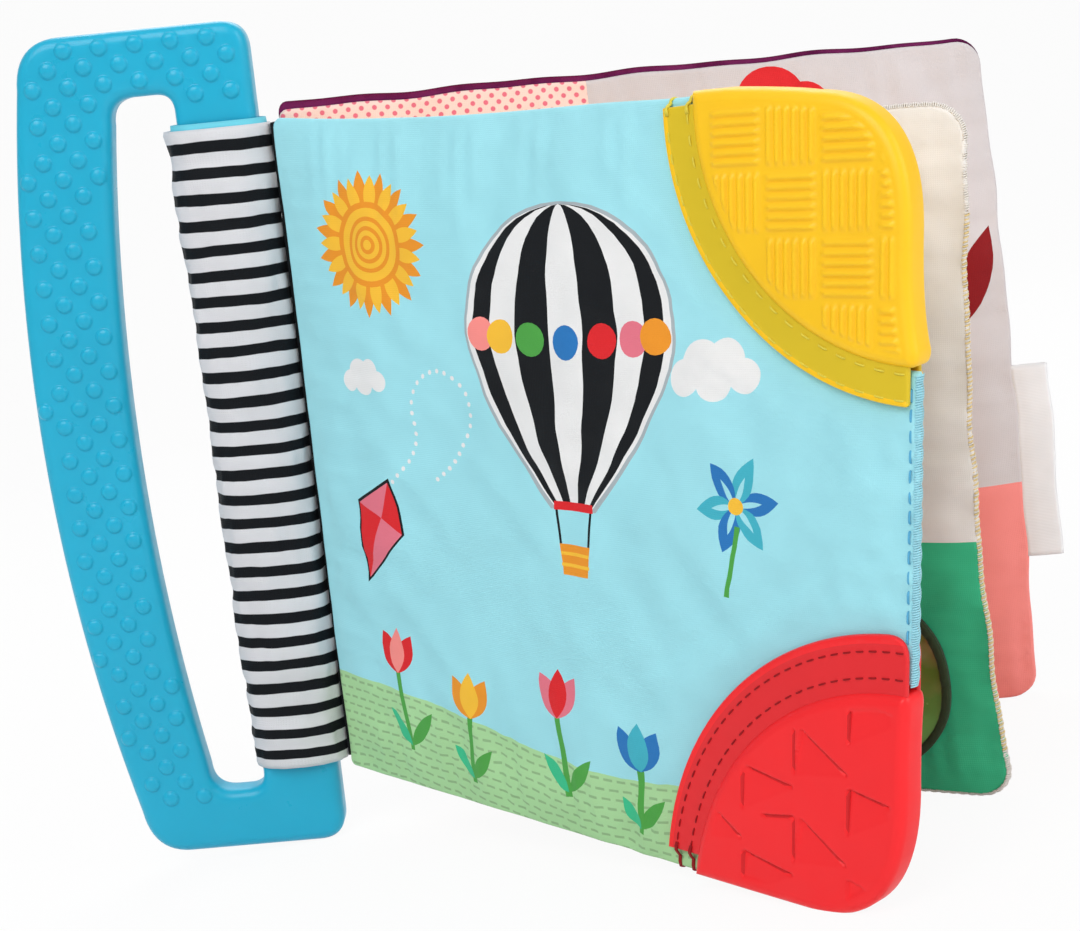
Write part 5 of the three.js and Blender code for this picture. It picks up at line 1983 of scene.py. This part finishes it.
# A stitch's arch: shares of its length, and lifts above the cloth in radii of the thread
ARCH = ((0, -0.9), (0.08, 0.35), (0.25, 0.8), (0.5, 0.9), (0.75, 0.8), (0.92, 0.35), (1, -0.9))


def stitches(bundle, place, total, radius, pitch, stitch, paint=0, start=0.0):
    """A row of stitches. place gives a point at a length along the row and a lift above the cloth."""
    for s in np.arange(start, total - stitch, pitch):
        path = np.array([place(s + stitch * share, lift * radius) for share, lift in ARCH])
        bundle.add(*tube(path, radius), paint)


class BOOK_OT_stitch_rows(bpy.types.Operator):
    """Sew the corner teethers' flanges with two rows of stitches on both faces"""

    bl_idname = "book.stitch_rows"
    bl_label = "Stitch rows"

    def execute(self, context):
        leaf, c = leaves()["front"], settings().colours
        for grip, tint in zip(leaf.grips, (c.red_thread, c.yellow_thread)):
            material = thread_material(grip.name + "_thread", tint)
            inset = getattr(settings().stitch, grip.name + "_inset")
            for row, reach in (("outer", grip.outer - inset), ("inner", grip.radius + min(inset, 1.8 * MM))):
                node = f"{grip.name}_{row}_stitch_row"
                bundle = Bundle()
                for face in (1, -1):
                    self.row(bundle, leaf, grip, reach, face)
                self.tail(bundle, leaf, grip, reach)
                piece = make_piece(node + "_thread", bundle.all_points(), bundle.faces, [material])
                settle(piece, "front_cover", grip.name + "_thread", node)
        return {"FINISHED"}

    def row(self, bundle, leaf, grip, reach, face):
        """A row of stitches on one face, along an arc of the flange."""
        threads, lift_off = settings().stitch, settings().teether.flange_half
        radius, pitch, stitch = (getattr(threads, f"{grip.name}_{key}") for key in ("radius", "pitch", "stitch"))
        from_end, from_foot = 0.8 * MM, 0.6 * MM
        start, finish = grip.turns(reach, grip.end + from_end, grip.foot + from_foot)

        def place(s, lift):
            u, v = grip.centre(reach) + reach * np.array([math.cos(start - s / reach), math.sin(start - s / reach)])
            return leaf.world(u, v if grip.side > 0 else leaf.height - v, face * (lift_off + lift))

        stitches(bundle, place, (start - finish) * reach, radius, pitch, stitch)

    def tail(self, bundle, leaf, grip, reach):
        """The row's last threads, which run off the flange and round the leaf's edge."""
        radius = getattr(settings().stitch, grip.name + "_radius") * 1.8
        seam, face = settings().leaf.seam_half, settings().teether.flange_half
        foot = grip.foot
        run = [(foot + 1.6 * MM, face + 0.3 * radius), (foot + 0.8 * MM, face + radius),
               (foot, face + 0.6 * radius), (foot * 0.8, 2 * MM), (foot * 0.6, seam + 0.9 * radius),
               (foot * 0.3, seam * 0.95 + 0.9 * radius), (0.15 * MM, seam * 0.62 + 0.8 * radius), (-radius * 0.6, 0.0)]
        run = [(gap + grip.dip * (1 - min(1, gap / foot)), w) for gap, w in run]
        run += [(gap, -w) for gap, w in reversed(run[:-1])]
        for shift in (-0.55 * radius, 0.6 * radius):
            path = []
            for k, (gap, w) in enumerate(run):
                v = leaf.height - gap
                u = grip.middle[0] - math.sqrt(reach ** 2 - (v - grip.centre(reach)[1]) ** 2)
                u += shift * (1 if grip.side < 0 else math.cos(k * 0.9))
                path.append(leaf.world(u, v if grip.side > 0 else gap, w))
            bundle.add(*tube(path, radius * 0.72))


def skin(leaf, u, v, gap):
    """Height of a leaf's cloth at a point that lies a gap inside its sewn edge."""
    half = settings().leaf.seam_half
    share = 1 - np.clip(gap / half, 0, 1)
    return leaf.crown(u, v) - half * (1 - np.sqrt(np.maximum(0, 1 - share ** 2)))


def overlock(bundle, leaf, edge_place, start, total, threads, paints, bead, swell, reach):
    """Loops of thread round a leaf's edge, bunched in beads. edge_place gives flat places along the edge."""
    radius = threads.loop_radius
    insets = np.array([1, 0.7, 0.35, 0.12, 0, 0, 0, 0.12, 0.35, 0.7, 1]) * reach
    sides = np.array([1, 1, 1, 1, 0.6, 0, -0.6, -1, -1, -1, -1])
    drift = np.linspace(0, 1, len(insets)) * threads.loop_pitch * 0.8
    for k, s in enumerate(np.arange(start, total - threads.loop_pitch, threads.loop_pitch)):
        puff = swell * abs(math.sin(math.pi * s / bead))
        wobble = 1 + 0.12 * math.sin(2.3 * k) + 0.08 * math.sin(5.1 * k + 1)
        path = []
        for inset, side, shift in zip(insets * wobble, sides, drift):
            (u, v), out = edge_place(s + shift, inset)
            close = max(0.0, 1 - inset / reach)
            height = float(skin(leaf, u, v, inset + 0.02 * MM)) + radius * 0.8 + puff * 0.6 * close
            push = (radius * 0.8 + puff) * (1 - abs(side)) + puff * abs(side) * close
            path.append(leaf.world(u + out[0] * push, v + out[1] * push, side * height))
        bundle.add(*tube(path, radius, 5), paints[k % len(paints)])


class BOOK_OT_edge_stitches(bpy.types.Operator):
    """Sew the outer edges of the front cover and of the page"""

    bl_idname = "book.edge_stitches"
    bl_label = "Edge stitches"

    def execute(self, context):
        c, threads = settings().colours, settings().stitch
        self.front(leaves()["front"], c, threads)
        self.page(leaves()["page"], c, threads)
        return {"FINISHED"}

    def front(self, leaf, c, threads):
        """Overlock and a row of topstitching on the edge between the two corner teethers."""
        low, high = (grip.arc(grip.bite, 0, 0, 1)[0][1] for grip in leaf.grips)
        start = leaf.height - low
        total = high - start
        bundle = Bundle()

        def place(s, inset):
            return (leaf.width - inset, start + s), (1, 0)

        overlock(bundle, leaf, place, 0, total, threads, (0,), threads.front_bead, 0.24 * MM, threads.front_reach)
        for face in (1, -1):
            def topstitch(s, lift, face=face):
                u, v = leaf.width - threads.edge_inset, start + s
                return leaf.world(u, v, face * (float(leaf.crown(u, v)) + threads.loop_radius + lift))

            stitches(bundle, topstitch, total, 0.2 * MM, threads.front_bead, 2.2 * MM, 1, 0.6 * MM)
        materials = [thread_material("pale_blue_thread", linear("A9E4F2")),
                     thread_material("blue_thread", c.blue_thread)]
        piece = make_piece("front_edge_thread", bundle.all_points(), bundle.faces, materials, bundle.paint)
        settle(piece, "front_cover", "blue_thread", "front_edge_stitching")

    def page(self, leaf, c, threads):
        """Overlock along the page's bottom, outer and top edges, warm beside the outer edge and white elsewhere."""
        corner, gutter_gap = leaf.corner, 6 * MM
        turn = corner * QUARTER
        straight = leaf.width - corner - gutter_gap
        ends = np.cumsum([straight, turn, leaf.height - 2 * corner, turn, straight])

        def rounded(a, v, inset):
            out = (math.cos(a), math.sin(a))
            return (leaf.width - corner + (corner - inset) * out[0], v + (corner - inset) * out[1]), out

        def place(s, inset):
            if s < ends[0]:
                return (gutter_gap + s, inset), (0, -1)
            if s < ends[1]:
                return rounded((s - ends[0]) / corner - QUARTER, corner, inset)
            if s < ends[2]:
                return (leaf.width - inset, corner + s - ends[1]), (1, 0)
            if s < ends[3]:
                return rounded((s - ends[2]) / corner, leaf.height - corner, inset)
            return (leaf.width - corner - (s - ends[3]), leaf.height - inset), (0, 1)

        bundle = Bundle()
        warm_from, warm_to = ends[1] + 3 * MM, ends[2] - 14 * MM
        for start, stop, paints in ((0, warm_from, (0,)), (warm_from, warm_to, (0, 1)), (warm_to, ends[-1], (0,))):
            overlock(bundle, leaf, place, start, stop, threads, paints, threads.page_bead, 0.22 * MM,
                     threads.page_reach)
        materials = [thread_material("page_white_thread", linear("F4EFE8")),
                     thread_material("page_warm_thread", c.warm_thread)]
        piece = make_piece("page_edge_thread", bundle.all_points(), bundle.faces, materials, bundle.paint)
        settle(piece, "page", "orange_thread", "page_edge_stitching")


# The mirror and the label

class BOOK_OT_mirror(bpy.types.Operator):
    """Build the mirror film and its rim on the page"""

    bl_idname = "book.mirror"
    bl_label = "Mirror"

    def execute(self, context):
        leaf, sizes, c = leaves()["page"], settings().mirror, settings().colours
        centre = mirror_centre(leaf, sizes)
        film_base, rim_base, domed, overlap, least = 0.12 * MM, 0.05 * MM, 0.35 * MM, 0.4 * MM, 0.1 * MM
        film = FlatSheet([circle(centre, sizes.radius, 90)], 0.2 * MM, 1.6 * MM)
        base = leaf.crown(*film.points.T) + film_base
        away = np.linalg.norm(film.points - centre, axis=1) / sizes.radius
        dome = domed * (1 - away ** 2)
        self.layer("mirror_film_disc", leaf, film, base, base + sizes.film + sizes.gap + dome,
                   mirror_material("silver_film", c.mirror), "mirror_face", "mirror_film")
        outer = sizes.radius + sizes.gap + sizes.rim_width
        ring = FlatSheet([circle(centre, outer, 110), circle(centre, sizes.radius - overlap, 100)[::-1]],
                         0.6 * MM, 0.7 * MM)
        base = leaf.crown(*ring.points.T) + rim_base
        turn = np.arctan2(*(ring.points - centre).T[::-1])
        ripple = 0.1 * MM * np.sin(46 * turn) + 0.12 * MM * gathers(turn * 3)
        top = base + sizes.gap + sizes.rim_thickness + ring.profile() + ripple
        self.layer("mirror_rim_ring", leaf, ring, base, np.maximum(top, base + least),
                   cloth_material("rim_cloth", c.rim, 0.7), "rim_cloth", "mirror_rim")
        return {"FINISHED"}

    def layer(self, name, leaf, sheet, low, high, material, slot, node):
        """A shell over a flat sheet, between two heights above the page's middle."""
        u, v = sheet.points.T
        points = np.vstack([leaf.world(u, v, high), leaf.world(u, v, low)])
        piece = make_piece(name, points, shell_faces(sheet), [material], cloth=doubled(sheet.points))
        settle(piece, "page", slot, node)


def mirror_centre(leaf, sizes):
    return np.array([leaf.width - sizes.from_edge, sizes.rise])


class BOOK_OT_label(bpy.types.Operator):
    """Build the blank folded label on the back cover's edge"""

    bl_idname = "book.label"
    bl_label = "Loop label"

    def execute(self, context):
        leaf, sizes, tint = leaves()["back"], settings().label, settings().colours.label
        puffed, sewn_in, opening = 0.35 * MM, 0.6 * MM, 3 * MM
        half = sizes.loop / 2 + sizes.thickness / 2 + puffed
        bend = leaf.width + sizes.reach - half
        start = leaf.width - sewn_in
        steps = 9
        flat = np.linspace(start, bend, steps)
        turn = np.linspace(-QUARTER, QUARTER, steps)[1:-1]
        us = np.concatenate([flat, bend + half * np.cos(turn), flat[::-1]])
        ws = np.concatenate([np.full(steps, -half), half * np.sin(turn), np.full(steps, half)])
        ws = ws * (0.55 + 0.45 * np.clip((us - start) / opening, 0, 1))
        vs = np.linspace(sizes.rise, sizes.rise + sizes.height, 40)
        uu, vv = np.meshgrid(us, vs)
        ww = np.broadcast_to(ws, uu.shape) + 0.18 * MM * gathers(vv / (19 * MM)) * (uu - start) / sizes.reach
        uu = uu + 0.25 * MM * gathers(vv / (31 * MM) + 0.4) * (uu - start) / sizes.reach
        lengths = np.concatenate([[0], np.cumsum(np.hypot(np.diff(us), np.diff(ws)))])
        flat_map = np.stack(np.broadcast_arrays(lengths[None, :], vv), axis=-1)
        points, faces, flats = thick_grid(leaf.world(uu, vv, ww), sizes.thickness * 0.8, flat_map)
        ribbon = Shader("label_ribbon", tint, 0.5, sheen_weight=0.4, sheen_roughness=0.3)
        vector = ribbon.coordinates()
        ribbon.paint(ribbon.faded(vector, tint, 0.94, 8 * MM))
        ribbon.bump(ribbon.bands(vector, 0.35 * MM, "Y"), 0.05 * MM, 0.5)
        piece = make_piece("loop_label_ribbon", points, faces, [ribbon.material], cloth=flats)
        settle(piece, "back_cover", "label_tape", "loop_label")
        return {"FINISHED"}


# Shared by the operators

made = {}


def leaves():
    if "leaves" not in made:
        made["leaves"] = made_leaves()
        front, page, back = made["leaves"].values()
        inflate(front, 3)
        inflate(page, 5, settings().mirror)
        inflate(back, 8)
    return made["leaves"]


def print_tones():
    if "tones" not in made:
        made["tones"] = print_materials()
    return made["tones"]


class BOOK_PT_panel(bpy.types.Panel):
    """Lists the book's pieces"""

    bl_label = "Teether Book"
    bl_idname = "BOOK_PT_panel"
    bl_space_type = "VIEW_3D"
    bl_region_type = "UI"
    bl_category = "Teether Book"

    def draw(self, context):
        for operator in OPERATORS:
            self.layout.operator(operator.bl_idname)
        book = context.scene.teether_book
        for group in ("leaf", "swell", "pucker", "handle", "sleeve", "teether", "stitch", "mirror", "label",
                      "colours", "studio"):
            box = self.layout.box()
            values = getattr(book, group)
            for key in values.bl_rna.properties.keys():
                if key not in {"name", "rna_type"}:
                    box.prop(values, key)


OPERATORS = (
    BOOK_OT_handle, BOOK_OT_sleeve, BOOK_OT_front_cover, BOOK_OT_page, BOOK_OT_back_cover,
    BOOK_OT_fillings, BOOK_OT_corner_teethers, BOOK_OT_stitch_rows, BOOK_OT_edge_stitches,
    BOOK_OT_mirror, BOOK_OT_label, BOOK_OT_stage,
)
CLASSES = (
    LeafSizes, SwellSizes, PuckerSizes, HandleSizes, SleeveSizes, TeetherSizes, StitchSizes, MirrorSizes, LabelSizes,
    PieceColours, StudioSettings, BookSettings, *OPERATORS, BOOK_PT_panel,
)


def register():
    for one in CLASSES:
        bpy.utils.register_class(one)
    bpy.types.Scene.teether_book = bpy.props.PointerProperty(type=BookSettings)


def unregister():
    del bpy.types.Scene.teether_book
    for one in reversed(CLASSES):
        bpy.utils.unregister_class(one)


def main():
    register()
    for operator in OPERATORS:
        group, name = operator.bl_idname.split(".")
        getattr(getattr(bpy.ops, group), name)()
    boxes = {"cad": cad_bounds, "visual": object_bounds()}
    {key: [list(corner) for corner in box] for key, box in boxes.items()}


if __name__ == "__main__":
    main()
